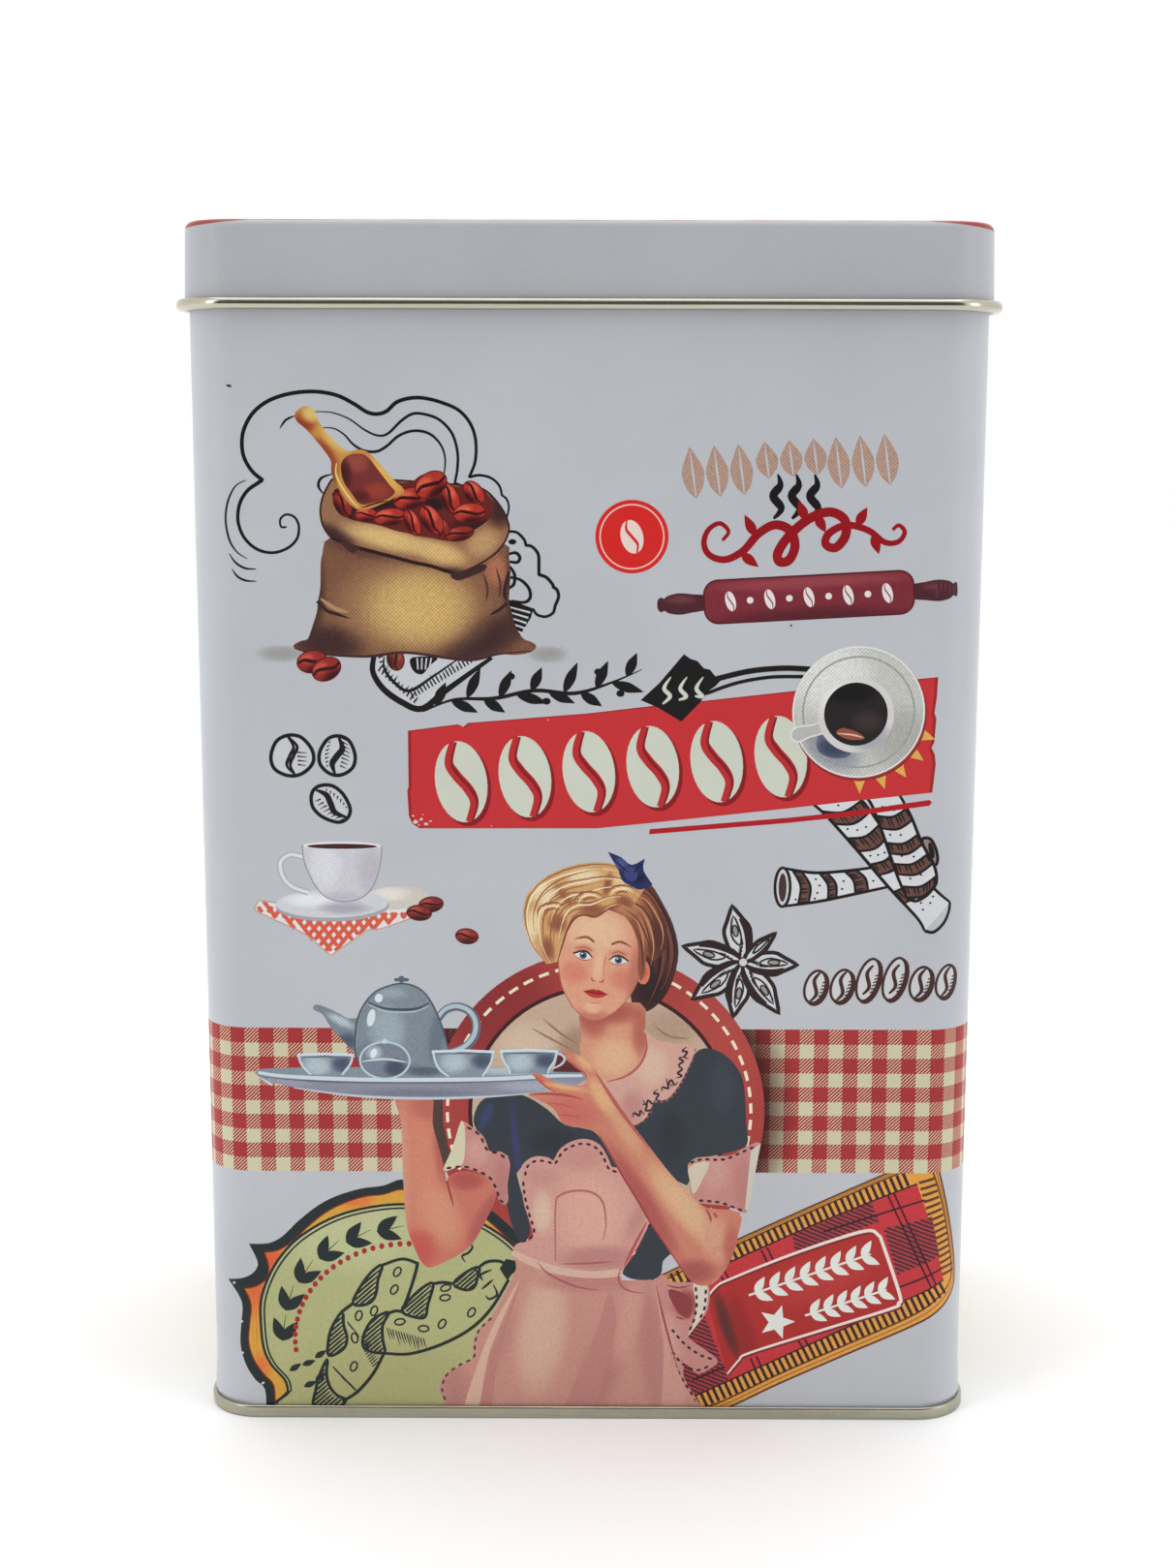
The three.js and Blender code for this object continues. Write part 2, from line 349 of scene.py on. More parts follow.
def make_wall(outside, inside):
    """The body wall's sheet, from its hook in the base seam to the roll round the mouth."""
    roll_z = HEIGHT - SHEET - 0.05 - MOUTH_ROLL - SHEET / 2
    levels = FOOT_LEVELS + [14.0 + 8.0 * i for i in range(21)] + [LOCK_TOP - 0.3, LOCK_TOP + 0.3]
    middle = [(BODY_HOOK, 1.45)]
    middle += arc((WALL + BODY_HOOK) / 2, 0.63, FOLD, 0, -180, 8)
    middle += [(WALL, z) for z in levels]
    middle += arc(WALL - MOUTH_ROLL, roll_z, MOUTH_ROLL, 0, 300, 26)
    right, left = sheet_faces(middle)

    def shift(s, side, z):
        on_seam = LOCK_FOOT < z < LOCK_TOP
        if side == 0 and SEAM_TOP < z < PRINT_TOP:
            groove = GROOVE_DEPTH if on_seam and s.across < GROOVE_HALF else 0.0
            return corner_flare(s.corner, z) - UNDER_PRINT - groove
        if side == 1 and on_seam and s.across < LOCK_HALF:
            return corner_flare(s.corner, z) - LOCK_LAYERS
        return corner_flare(s.corner, z)

    return sweep("wall_sheet", right, left, tin_outline(side_seam=True), [outside, inside], shift,
                 closed=True)


def make_base(outside):
    """The base: a stepped panel inside the foot, and the seam that wraps the wall's hook."""
    panel = PANEL_RISE + SHEET / 2
    foot = SHEET / 2
    top_fold = SEAM_TOP - SHEET / 2 - FOLD
    middle = [(-14.0, panel - 0.7), (-10.6, panel - 0.7), (-10.2, panel - 0.62), (-9.3, panel - 0.08),
              (-8.9, panel), (-5.0, panel)]
    middle += arc(CHUCK - 0.5, panel - 0.5, 0.5, 90, 0, 8)
    middle += arc(CHUCK + 0.22, foot + 0.22, 0.22, 180, 270, 6)
    middle += arc(SEAM_WALL - 0.22, foot + 0.22, 0.22, 270, 360, 6)
    middle += arc((END_HOOK + SEAM_WALL) / 2, top_fold, FOLD, 0, 180, 8)
    middle += [(END_HOOK, 0.82)]
    right, left = sheet_faces(middle)
    return sweep("base_shell", right, left, tin_outline(), [outside, outside])


def lid_profile():
    """The lid's middle line, from its sunk panel over the shoulder and down to the rolled edge."""
    rim = HEIGHT - SHEET / 2
    bend = SHOULDER - SHEET / 2
    top = LID_FIT + SHEET / 2
    low = top + LID_DRAFT
    roll_x = (ROLL_REACH + SHEET) / 2 - SHEET / 2
    roll_z = ROLL_HEIGHT / 2 - SHEET / 2
    middle = [(-LID_RIM - 4.0, rim - LID_PANEL_DROP), (-LID_RIM - LID_PANEL_RUN, rim - LID_PANEL_DROP),
              (-LID_RIM, rim)]
    middle += arc(top - bend, rim - bend, bend, 90, 0, 8)
    middle += arc(low + roll_x, LID_FOOT + ROLL_HEIGHT / 2, roll_x, 180, 485, 28, roll_z)
    return middle


def make_lid(outside, inside):
    right, left = sheet_faces(lid_profile())
    return sweep("lid_shell", right, left, tin_outline(), [inside, outside])


# ---------------------------------------------------------------- drawing with layered outlines
LONGEST_EDGE = 1.1          # longer edges are split, so that a changing colour has corners on them


class Drawing:
    """Filled outlines over each other on a rectangle, or inside an edge. The last on a spot shows."""

    def __init__(self, low, high, ground, edge=None):
        self.low = low
        self.high = high
        self.points = []
        self.outlines = []
        self.inks = []
        self.lines = []
        self.shift = (0.0, 0.0)
        self.cut = None
        self.fill(edge or [low, (high[0], low[1]), high, (low[0], high[1])], ground)

    def fill(self, outline, colour, screen=0.0, check=0.0, grain=0.0):
        """Lays an outline in a colour, which is (red, green, blue) or a function of the place.

        screen is how strongly the printer's dots show, check turns the spot into gingham cloth
        that the colour tints, and grain is the pitch of extra points for a colour that changes.
        """
        shift_x, shift_z = self.shift
        start = len(self.points)
        outline = evenly([(x + shift_x, z + shift_z) for x, z in outline])
        self.points.extend(outline)
        numbers = list(range(start, start + len(outline)))
        self.outlines.append(numbers if self.area(numbers) > 0 else numbers[::-1])

        def moved(x, z):
            return colour(x - shift_x, z - shift_z)

        follows_shift = callable(colour) and self.shift != (0.0, 0.0)
        self.inks.append((moved if follows_shift else colour, screen, check))
        if grain:
            self.sow(outline, grain)

    def area(self, numbers):
        """Twice the area inside some of the points, negative if they run clockwise."""
        spots = [self.points[i] for i in numbers]
        return sum(a[0] * b[1] - b[0] * a[1] for a, b in zip(spots, spots[1:] + spots[:1]))

    def sow(self, outline, pitch):
        """Adds loose points inside an outline, so that a changing colour has corners to sit on."""
        low_x, high_x = min(p[0] for p in outline), max(p[0] for p in outline)
        low_z, high_z = min(p[1] for p in outline), max(p[1] for p in outline)
        rows = int((high_z - low_z) / pitch)
        columns = int((high_x - low_x) / pitch)
        for row in range(rows):
            for column in range(columns):
                x = low_x + (column + 0.25 + 0.5 * (row % 2) + dice.uniform(-0.15, 0.15)) * pitch
                z = low_z + (row + 0.5 + dice.uniform(-0.15, 0.15)) * pitch
                if within(x, z, outline):
                    self.points.append((x, z))

    def stroke(self, line, width, colour, ends=(1.0, 1.0), screen=0.0, check=0.0):
        """Draws a line of some width, tapering to its ends: a chain of four-sided outlines."""
        line = [(x + self.shift[0], z + self.shift[1]) for x, z in line]
        line = [p for i, p in enumerate(line) if not i or math.dist(p, line[i - 1]) > 0.02]
        if len(line) < 2:
            return
        pairs = []
        for i, (x, z) in enumerate(line):
            back = line[max(i - 1, 0)]
            ahead = line[min(i + 1, len(line) - 1)]
            dx, dz = ahead[0] - back[0], ahead[1] - back[1]
            length = math.hypot(dx, dz) or 1.0
            t = i / (len(line) - 1)
            taper = min(1.0, ends[0] + 3.0 * t * (1 - ends[0]), ends[1] + 3.0 * (1 - t) * (1 - ends[1]))
            half = max(width * taper / 2, 0.03)
            side_x, side_z = -dz / length * half, dx / length * half
            start = len(self.points)
            self.points += [(x - side_x, z - side_z), (x + side_x, z + side_z)]
            pairs.append((start, start + 1))
        for (a, b), (c, d) in zip(pairs, pairs[1:]):
            halves = [half for half in ([a, c, d], [a, d, b]) if self.area(half) > 1e-6]
            for part in [[a, c, d, b]] if len(halves) == 2 else halves:
                self.outlines.append(part)
                self.inks.append((colour, screen, check))

    def ring(self, outline, width, colour, screen=0.0):
        self.stroke(outline + outline[:2], width, colour, screen=screen)

    def inked(self):
        """Cuts everything along everything: the points, the faces, and each corner's colour and kind."""
        if self.cut:
            return self.cut
        points, _, faces, _, _, sources = delaunay_2d_cdt([Vector(p) for p in self.points], self.lines,
                                                          self.outlines, 1, 1e-5, True)
        kept = [(face, self.inks[max(source)]) for face, source in zip(faces, sources) if 0 in source]
        used = sorted({i for face, _ in kept for i in face})
        renumber = {old: new for new, old in enumerate(used)}
        flat = [(points[i].x, points[i].y) for i in used]
        colours, kinds = [], []
        for face, (colour, screen, check) in kept:
            for i in face:
                shade = colour(points[i].x, points[i].y) if callable(colour) else colour
                colours += linear(shade) + [1.0]
                kinds += [screen, check, 0.0, 1.0]
        self.cut = flat, [tuple(renumber[i] for i in face) for face, _ in kept], colours, kinds
        return self.cut

    def upright_lines(self, places):
        """Cuts along upright lines, where the wall bends."""
        for x in places:
            start = len(self.points)
            self.points += [(x, self.low[1]), (x, self.high[1])]
            self.lines.append((start, start + 1))

    def level_lines(self, places):
        """Cuts along level lines, with a point on them every so often."""
        count = int((self.high[0] - self.low[0]) / LONGEST_EDGE)
        for z in places:
            start = len(self.points)
            self.points += [(self.low[0] + (self.high[0] - self.low[0]) * i / count, z)
                            for i in range(count + 1)]
            self.lines += [(start + i, start + i + 1) for i in range(count)]


def evenly(outline):
    """The outline with its long edges split."""
    found = []
    for a, b in zip(outline, outline[1:] + outline[:1]):
        count = int(math.dist(a, b) / LONGEST_EDGE) + 1
        found += [lerp(a, b, i / count) for i in range(count)]
    return found


def within(x, z, outline):
    """Whether a place is inside an outline."""
    inside = False
    for (ax, az), (bx, bz) in zip(outline, outline[1:] + outline[:1]):
        if (az > z) != (bz > z) and x < ax + (z - az) / (bz - az) * (bx - ax):
            inside = not inside
    return inside


def curve(points, closed=False, steps=6):
    """A smooth line through the points. A point given twice is a sharp corner."""
    if closed and len(set(points)) == len(points):
        count = len(points)
        found = []
        for i in range(count):
            found += span([points[(i + k) % count] for k in (-1, 0, 1, 2)], steps)
        return found
    if closed:
        points = points + [points[0]]
    runs = [[points[0]]]
    for before, point in zip(points, points[1:]):
        if point == before:
            runs.append([point])
        else:
            runs[-1].append(point)
    found = []
    for run in runs:
        padded = [run[0]] + run + [run[-1]]
        for i in range(len(run) - 1):
            found += span(padded[i:i + 4], steps)
    return found if closed else found + [points[-1]]


def shape(points, steps=3):
    """A smooth closed outline through the points."""
    return curve(points, closed=True, steps=steps)


def span(four, steps):
    """One stretch of a Catmull-Rom curve, without its last point."""
    (ax, az), (bx, bz), (cx, cz), (dx, dz) = four
    found = []
    for i in range(steps):
        t = i / steps
        w = (-t + 2 * t * t - t ** 3, 2 - 5 * t * t + 3 * t ** 3, t + 4 * t * t - 3 * t ** 3, t ** 3 - t * t)
        found.append((sum(k * v for k, v in zip(w, (ax, bx, cx, dx))) / 2,
                      sum(k * v for k, v in zip(w, (az, bz, cz, dz))) / 2))
    return found


def placed(points, x, z, tilt=0.0, scale=1.0):
    """Points drawn about (0, 0), turned by tilt degrees and moved to (x, z)."""
    c, s = math.cos(math.radians(tilt)) * scale, math.sin(math.radians(tilt)) * scale
    return [(x + px * c - pz * s, z + px * s + pz * c) for px, pz in points]


def oval(x, z, rx, rz=None, tilt=0.0, steps=24):
    rz = rx if rz is None else rz
    turns = [2 * math.pi * i / steps for i in range(steps)]
    return placed([(rx * math.cos(t), rz * math.sin(t)) for t in turns], x, z, tilt)


def bow(x, z, radius, start, end, steps=24):
    """Part of a circle, from one angle to another in degrees."""
    turns = [math.radians(start + (end - start) * i / steps) for i in range(steps + 1)]
    return [(x + radius * math.cos(t), z + radius * math.sin(t)) for t in turns]


def lerp(a, b, t):
    return tuple(p + (q - p) * t for p, q in zip(a, b))


def along(line, t):
    """The place a fraction of the way along a line."""
    lengths = [math.dist(a, b) for a, b in zip(line, line[1:])]
    left = t * sum(lengths)
    for (a, b), length in zip(zip(line, line[1:]), lengths):
        if left <= length:
            return lerp(a, b, left / (length or 1.0))
        left -= length
    return line[-1]


def shaded(base, *spots):
    """A colour that turns softly into others: each spot is (colour, x, z, reach x, reach z, tilt)."""
    ready = []
    for colour, x, z, reach_x, reach_z, *tilt in spots:
        angle = math.radians(tilt[0] if tilt else 0.0)
        ready.append((colour, x, z, math.cos(angle) / reach_x, math.sin(angle) / reach_x,
                      -math.sin(angle) / reach_z, math.cos(angle) / reach_z))

    def colour_at(x, z):
        found = base
        for colour, cx, cz, ux, uz, vx, vz in ready:
            dx, dz = x - cx, z - cz
            far = (dx * ux + dz * uz) ** 2 + (dx * vx + dz * vz) ** 2
            if far < 1.0:
                found = lerp(found, colour, (1 - far) ** 2 * (1 + 2 * far))
        return found

    return colour_at


# ---------------------------------------------------------------- the wall's print as a piece
def linear(colour):
    """Screen red, green and blue out of 255 as the light they stand for."""
    return [((c / 255 + 0.055) / 1.055) ** 2.4 if c > 10 else c / 255 / 12.92 for c in colour]


def ink_mesh(name, drawing, place, normal, material, depth=FILM_IN, formed=False):
    """Makes a drawing into a closed film: its inked face, a plain back and a narrow rim.

    place(x, z, out) gives the place of a point of the drawing, in millimetres. depth is where the
    back lies. It runs straight between the bends, and follows every point if the film is formed.
    """
    flat, faces, ink_colours, ink_kinds = drawing.inked()
    edges = {(a, b) for face in faces for a, b in zip(face, face[1:] + face[:1])}
    rim = {a: b for a, b in edges if (b, a) not in edges}
    loop = [next(iter(rim))]
    while rim[loop[-1]] != loop[0]:
        loop.append(rim[loop[-1]])
    count = len(flat)
    behind = list(range(count)) if formed else loop
    at_back = {i: count + n for n, i in enumerate(behind)}
    vertices = [place(x, z, FILM_OUT) for x, z in flat]
    back = [place(*flat[i], depth) for i in behind]
    rim_faces = [(b, a, at_back[a], at_back[b]) for a, b in zip(loop, loop[1:] + loop[:1])]
    if formed:
        back_faces = [tuple(at_back[i] for i in reversed(face)) for face in faces]
    else:
        places = [Vector(flat[i]) for i in loop]
        ends = {}
        for i, p in enumerate(places):
            ends.setdefault(round(p.x, 3), []).append(i)
        uprights = [tuple(pair) for pair in ends.values() if len(pair) == 2]
        back_cut = delaunay_2d_cdt(places, uprights, [list(range(len(loop)))], 1, 1e-6, True)
        back_faces = [tuple(count + back_cut[3][i][0] for i in reversed(face)) for face in back_cut[2]]

    mesh = bpy.data.meshes.new(name)
    everything = vertices + back
    mesh.from_pydata([tuple(c * MM for c in v) for v in everything], [], faces + rim_faces + back_faces)
    mesh.materials.append(material)
    spare = sum(len(face) for face in rim_faces + back_faces)
    colours = ink_colours + (linear(drawing.inks[0][0]) + [1.0]) * spare
    kinds = ink_kinds + [0.0, 0.0, 0.0, 1.0] * spare
    mesh.attributes.new("ink", "FLOAT_COLOR", "CORNER").data.foreach_set("color", colours)
    mesh.attributes.new("kind", "FLOAT_COLOR", "CORNER").data.foreach_set("color", kinds)
    where = mesh.attributes.new("place", "FLOAT_VECTOR", "POINT")
    spots = [c for x, z in flat + [flat[i] for i in behind] for c in (x, z, 0.0)]
    where.data.foreach_set("vector", spots)
    mesh.shade_smooth()
    fronts = [normal(x, z) for x, z in flat]
    backs = [tuple(-c for c in normal(*flat[i])) for i in behind]
    mesh.normals_split_custom_set_from_vertices(fronts + backs)
    mesh.update()
    piece = bpy.data.objects.new(name, mesh)
    bpy.context.collection.objects.link(piece)
    return piece


def panel_place(right, outward, flat_half, reach, grooved=False):
    """How a drawing lies on one side of the tin: flat in the middle, bent round both corners."""

    def place(x, z, out):
        over = max(abs(x) - flat_half, 0.0) / CORNER
        out += corner_flare(math.sin(2 * over), z)
        if grooved and abs(x) < GROOVE_HALF and LOCK_FOOT < z < LOCK_TOP:
            out -= GROOVE_DEPTH * math.cos(0.5 * math.pi * x / GROOVE_HALF) ** 2
        across = x
        if over:
            across = math.copysign(flat_half + (CORNER + out) * math.sin(over), x)
        forward = reach - CORNER + (CORNER + out) * math.cos(over)
        return (across * right[0] + forward * outward[0], across * right[1] + forward * outward[1], z)

    def normal(x, z):
        step = 0.02
        if abs(x) < flat_half - step:
            return outward
        run = Vector(place(x + step, z, 0.0)) - Vector(place(x - step, z, 0.0))
        rise = Vector(place(x, z + step, 0.0)) - Vector(place(x, z - step, 0.0))
        return tuple(run.cross(rise).normalized())

    return place, normal


def wall_drawing(flat_half, turn):
    """An empty drawing for one side of the wall, with the cuts that its bends need."""
    end = flat_half + CORNER * math.radians(turn)
    drawing = Drawing((-end, PRINT_FOOT), (end, PRINT_TOP), ENAMEL)
    bends = [flat_half + CORNER * math.radians(BEND_STEP * step) for step in range(int(turn / BEND_STEP))]
    drawing.upright_lines(bends + [-bend for bend in bends])
    drawing.level_lines(FOOT_LEVELS)
    return drawing


# ---------------------------------------------------------------- materials
class Looks:
    """A material, with short ways to add nodes. A value is a number, a colour or a socket."""

    def __init__(self, name, **settings):
        self.material = bpy.data.materials.new(name)
        self.material.use_nodes = True
        self.tree = self.material.node_tree
        self.shader = self.tree.nodes["Principled BSDF"]
        for socket, value in settings.items():
            self.shader.inputs[socket.replace("_", " ")].default_value = value

    def feed(self, socket, value):
        if isinstance(value, bpy.types.NodeSocket):
            self.tree.links.new(value, socket)
        else:
            socket.default_value = value

    def add(self, kind, values=None, **settings):
        """Adds a node. values is by socket number or name, and settings are the node's own."""
        node = self.tree.nodes.new("ShaderNode" + kind)
        for name, value in settings.items():
            setattr(node, name, value)
        for key, value in (values or {}).items():
            self.feed(node.inputs[key], value)
        return node

    def sums(self, operation, first, second=0.0):
        return self.add("Math", {0: first, 1: second}, operation=operation).outputs[0]

    def mix(self, amount, first, second, blend="MIX"):
        return self.add("Mix", {0: amount, 6: first, 7: second}, data_type="RGBA",
                        blend_type=blend).outputs[2]

    def spread(self, value, low, high, to_low=0.0, to_high=1.0):
        return self.add("MapRange", {0: value, 1: low, 2: high, 3: to_low, 4: to_high}).outputs[0]

    def noise(self, where, scale, detail=2.0):
        return self.add("TexNoise", {"Vector": where, "Scale": scale, "Detail": detail}).outputs[0]

    def tin_place(self):
        """The place on the tin in millimetres."""
        here = self.add("TexCoord").outputs["Object"]
        return self.add("VectorMath", {0: here, "Scale": 1.0 / MM}, operation="SCALE").outputs[0]

    def stretched(self, where, scale):
        return self.add("VectorMath", {0: where, 1: scale}, operation="MULTIPLY").outputs[0]

    def finish(self, colour, roughness, height, strength, distance):
        """Links the colour, the roughness and a fine relief, and gives the material back."""
        bump = self.add("Bump", {"Strength": strength, "Distance": distance * MM, "Height": height})
        self.feed(self.shader.inputs["Base Color"], colour)
        self.feed(self.shader.inputs["Roughness"], roughness)
        self.feed(self.shader.inputs["Normal"], bump.outputs[0])
        return self.material


def rgba(colour):
    return linear(colour) + [1.0]


def varnished(looks, where, colour):
    """Clear varnish over a printed colour: faint clouds, a changing gloss and an orange-peel skin."""
    cloud = looks.spread(looks.noise(where, 0.045, 3.0), 0.3, 0.7, 0.965, 1.025)
    fleck = looks.spread(looks.noise(where, 2.6, 2.0), 0.25, 0.75, 0.975, 1.02)
    tone = looks.sums("MULTIPLY", cloud, fleck)
    tinted = looks.mix(1.0, colour, looks.add("CombineColor", {0: tone, 1: tone, 2: tone}).outputs[0],
                       "MULTIPLY")
    gloss = looks.spread(looks.noise(where, 0.22, 4.0), 0.3, 0.7, 0.30, 0.37)
    peel = looks.noise(where, 0.9, 3.0)
    return looks.finish(tinted, gloss, peel, 0.25, 0.02)


def gingham(looks, across, up):
    """Woven cloth: solid squares where red threads meet, slanting threads where red meets cream."""
    column = looks.sums("FRACT",
                        looks.sums("DIVIDE", looks.sums("SUBTRACT", across, CHECK_START), CHECK_PITCH))
    row = looks.sums("FRACT", looks.sums("DIVIDE", looks.sums("SUBTRACT", CLOTH_TOP, up), CHECK_RISE))
    red_column = looks.sums("LESS_THAN", column, CHECK_COLUMN)
    red_row = looks.sums("LESS_THAN", row, CHECK_ROW)
    threads = looks.sums("FRACT", looks.sums("DIVIDE", looks.sums("SUBTRACT", across, up), THREAD_PITCH))
    slanting = looks.mix(looks.sums("GREATER_THAN", threads, THREAD_SHARE), rgba(THREAD_LIGHT),
                         rgba(THREAD_DARK))
    meeting = looks.sums("ADD", red_column, red_row)
    cloth = looks.mix(looks.sums("GREATER_THAN", meeting, 0.5), rgba(CHECK_CREAM), slanting)
    return looks.mix(looks.sums("GREATER_THAN", meeting, 1.5), cloth, rgba(CHECK_RED))


def print_material():
    """The printed picture: its colour is on the mesh, and the printer's dots and cloth are added."""
    looks = Looks("printed_enamel", Specular_IOR_Level=0.25, IOR=1.45)
    ink = looks.add("Attribute", attribute_name="ink").outputs["Color"]
    kind = looks.add("Attribute", attribute_name="kind").outputs["Color"]
    where = looks.add("Attribute", attribute_name="place").outputs["Vector"]
    screen, check, _ = looks.add("SeparateColor", {0: kind}).outputs
    across, up, _ = looks.add("SeparateXYZ", {0: where}).outputs
    turn = 2.0 * math.pi / DOT_PITCH
    columns = looks.sums("SINE", looks.sums("MULTIPLY", across, turn))
    rows = looks.sums("SINE", looks.sums("MULTIPLY", up, turn))
    dots = looks.sums("MULTIPLY", looks.sums("MULTIPLY", columns, rows), DOT_DEPTH)
    mottle = looks.spread(looks.noise(where, 1.7, 1.0), 0.25, 0.75, -MOTTLE, MOTTLE)
    tone = looks.sums("ADD", looks.sums("MULTIPLY", looks.sums("ADD", dots, mottle), screen), 1.0)
    dotted = looks.mix(1.0, ink, looks.add("CombineColor", {0: tone, 1: tone, 2: tone}).outputs[0],
                       "MULTIPLY")
    cloth = looks.mix(1.0, gingham(looks, across, up), ink, "MULTIPLY")
    return varnished(looks, where, looks.mix(check, dotted, cloth))


def enamel_material():
    looks = Looks("plain_enamel", Specular_IOR_Level=0.28, IOR=1.45)
    return varnished(looks, looks.tin_place(), rgba(ENAMEL))


def lid_material():
    """Pale enamel on the skirt, and the edge of the lid's red top creeping over the shoulder."""
    looks = Looks("lid_enamel", Specular_IOR_Level=0.28, IOR=1.45)
    where = looks.tin_place()
    x, _, z = looks.add("SeparateXYZ", {0: where}).outputs
    near_corner = looks.spread(looks.sums("ABSOLUTE", x), FLAT_X - 3.0, HALF_WIDTH, 0.0, 0.95)
    wander = looks.spread(looks.noise(where, 0.12), 0.3, 0.7, -0.05, 0.05)
    edge = looks.sums("ADD", looks.sums("SUBTRACT", HEIGHT - 0.08, near_corner), wander)
    redness = looks.spread(looks.sums("SUBTRACT", z, edge), -0.10, 0.05)
    return varnished(looks, where, looks.mix(redness, rgba(LID_ENAMEL), rgba(LID_RED)))


def metal_material(name, colour, lacquer, roughness):
    """Tinplate under thin lacquer: rolling lines round the tin, and clouds in the lacquer."""
    looks = Looks(name, Metallic=1.0)
    where = looks.tin_place()
    lines = looks.noise(looks.stretched(where, (0.06, 0.06, 7.0)), 1.0, 4.0)
    clouds = looks.noise(where, 0.35, 3.0)
    tone = looks.mix(looks.spread(clouds, 0.3, 0.7), rgba(colour), rgba(lacquer))
    tone = looks.mix(looks.spread(lines, 0.3, 0.75, 0.0, 0.35), tone, rgba([c * 0.62 for c in colour]))
    gloss = looks.spread(lines, 0.3, 0.7, roughness, roughness + 0.12)
    return looks.finish(tone, gloss, lines, 0.2, 0.03)


# ---------------------------------------------------------------- things that the pictures repeat
def bean(art, x, z, length, width, tilt=0.0, tone=(165, 50, 42), light=(205, 88, 66), dark=(58, 16, 20)):
    """A roasted coffee bean: a shaded oval with an S-shaped crease."""
    body = oval(x, z, length / 2, width / 2, tilt, 22)
    (light_x, light_z), (low_x, low_z) = placed([(-0.16 * length, 0.2 * width),
                                                 (0.1 * length, -0.5 * width)], x, z, tilt)
    art.fill(oval(x, z, length / 2 + 0.16, width / 2 + 0.16, tilt, 22), lerp(tone, dark, 0.75))
    art.fill(body,
             shaded(tone, (dark, low_x, low_z, length * 0.62, width * 0.42, tilt),
                    (light, light_x, light_z, length * 0.34, width * 0.3, tilt)), screen=0.6, grain=0.42)
    crease = [(-0.5, 0.02), (-0.28, 0.13), (0.0, 0.02), (0.26, -0.1), (0.5, 0.0)]
    crease = placed(curve([(u * length, v * width) for u, v in crease]), x, z, tilt)
    art.stroke(crease, 0.17 * width, dark, (0.5, 0.5))


def bean_sketch(art, x, z, length, width, tilt=0.0, close_hatch=False, ink=BLACK):
    """A coffee bean drawn with a pen."""
    body = placed(shape([(0.5 * length * math.cos(t),
                          0.5 * width * math.sin(t) * (1 + 0.06 * math.cos(3 * t)))
                         for t in (math.pi * i / 6 for i in range(12))]), x, z, tilt)
    art.fill(body, PAPER)
    art.ring(body, 0.56, ink)
    for side in (-1, 1):
        crease = [(-0.46, 0.02), (-0.22, 0.12), (0.0, 0.0), (0.2, -0.12), (0.46, 0.0)]
        crease = placed(curve([(u * length, (v + side * 0.05 * (1 - 4 * u * u)) * width)
                               for u, v in crease]), x, z, tilt)
        art.stroke(crease, 0.5, ink, (0.5, 0.6))
    for step in range(8 if close_hatch else 4):
        u = -0.3 + 0.1 * step
        reach = 0.42 - u * u
        line = placed([(u * length, -0.42 * reach * width * 2),
                       ((u + 0.06) * length, -0.3 * width * reach)], x, z, tilt)
        art.stroke(line, 0.3, ink, (0.3, 0.9))
        if close_hatch:
            art.stroke(placed([(u * length, 0.4 * width * reach * 2), ((u + 0.05) * length, 0.22 * width)],
                              x, z, tilt), 0.3, ink, (1.0, 0.2))


def hatch(art, start, end, count, length, angle, width, ink, jitter=0.15):
    """A row of short parallel pen strokes."""
    for i in range(count):
        x, z = lerp(start, end, i / max(count - 1, 1))
        reach = length * dice.uniform(1 - 2 * jitter, 1 + jitter)
        turn = math.radians(angle + dice.uniform(-4, 4))
        art.stroke([(x, z), (x + 0.5 * reach * math.cos(turn), z + 0.5 * reach * math.sin(turn)),
                    (x + reach * math.cos(turn), z + reach * math.sin(turn))], width, ink, (0.9, 0.2))


def pen(art, width, *lines, ink=BLACK, ends=(0.35, 0.35)):
    """Smooth pen lines of one width."""
    for line in lines:
        art.stroke(curve(list(line)), width, ink, ends)


def mirrored(points, middle):
    """An outline's left half, given from foot to top, with its right half added."""
    return points + [(2 * middle - x, z) for x, z in reversed(points) if abs(x - middle) > 0.01]


# ---------------------------------------------------------------- the front picture, upper part
def draw_cloth(art, end):
    """The gingham band that runs round the tin."""
    art.fill([(-end, CLOTH_FOOT), (end, CLOTH_FOOT), (end, CLOTH_TOP), (-end, CLOTH_TOP)], (255, 255, 255),
             check=1.0)


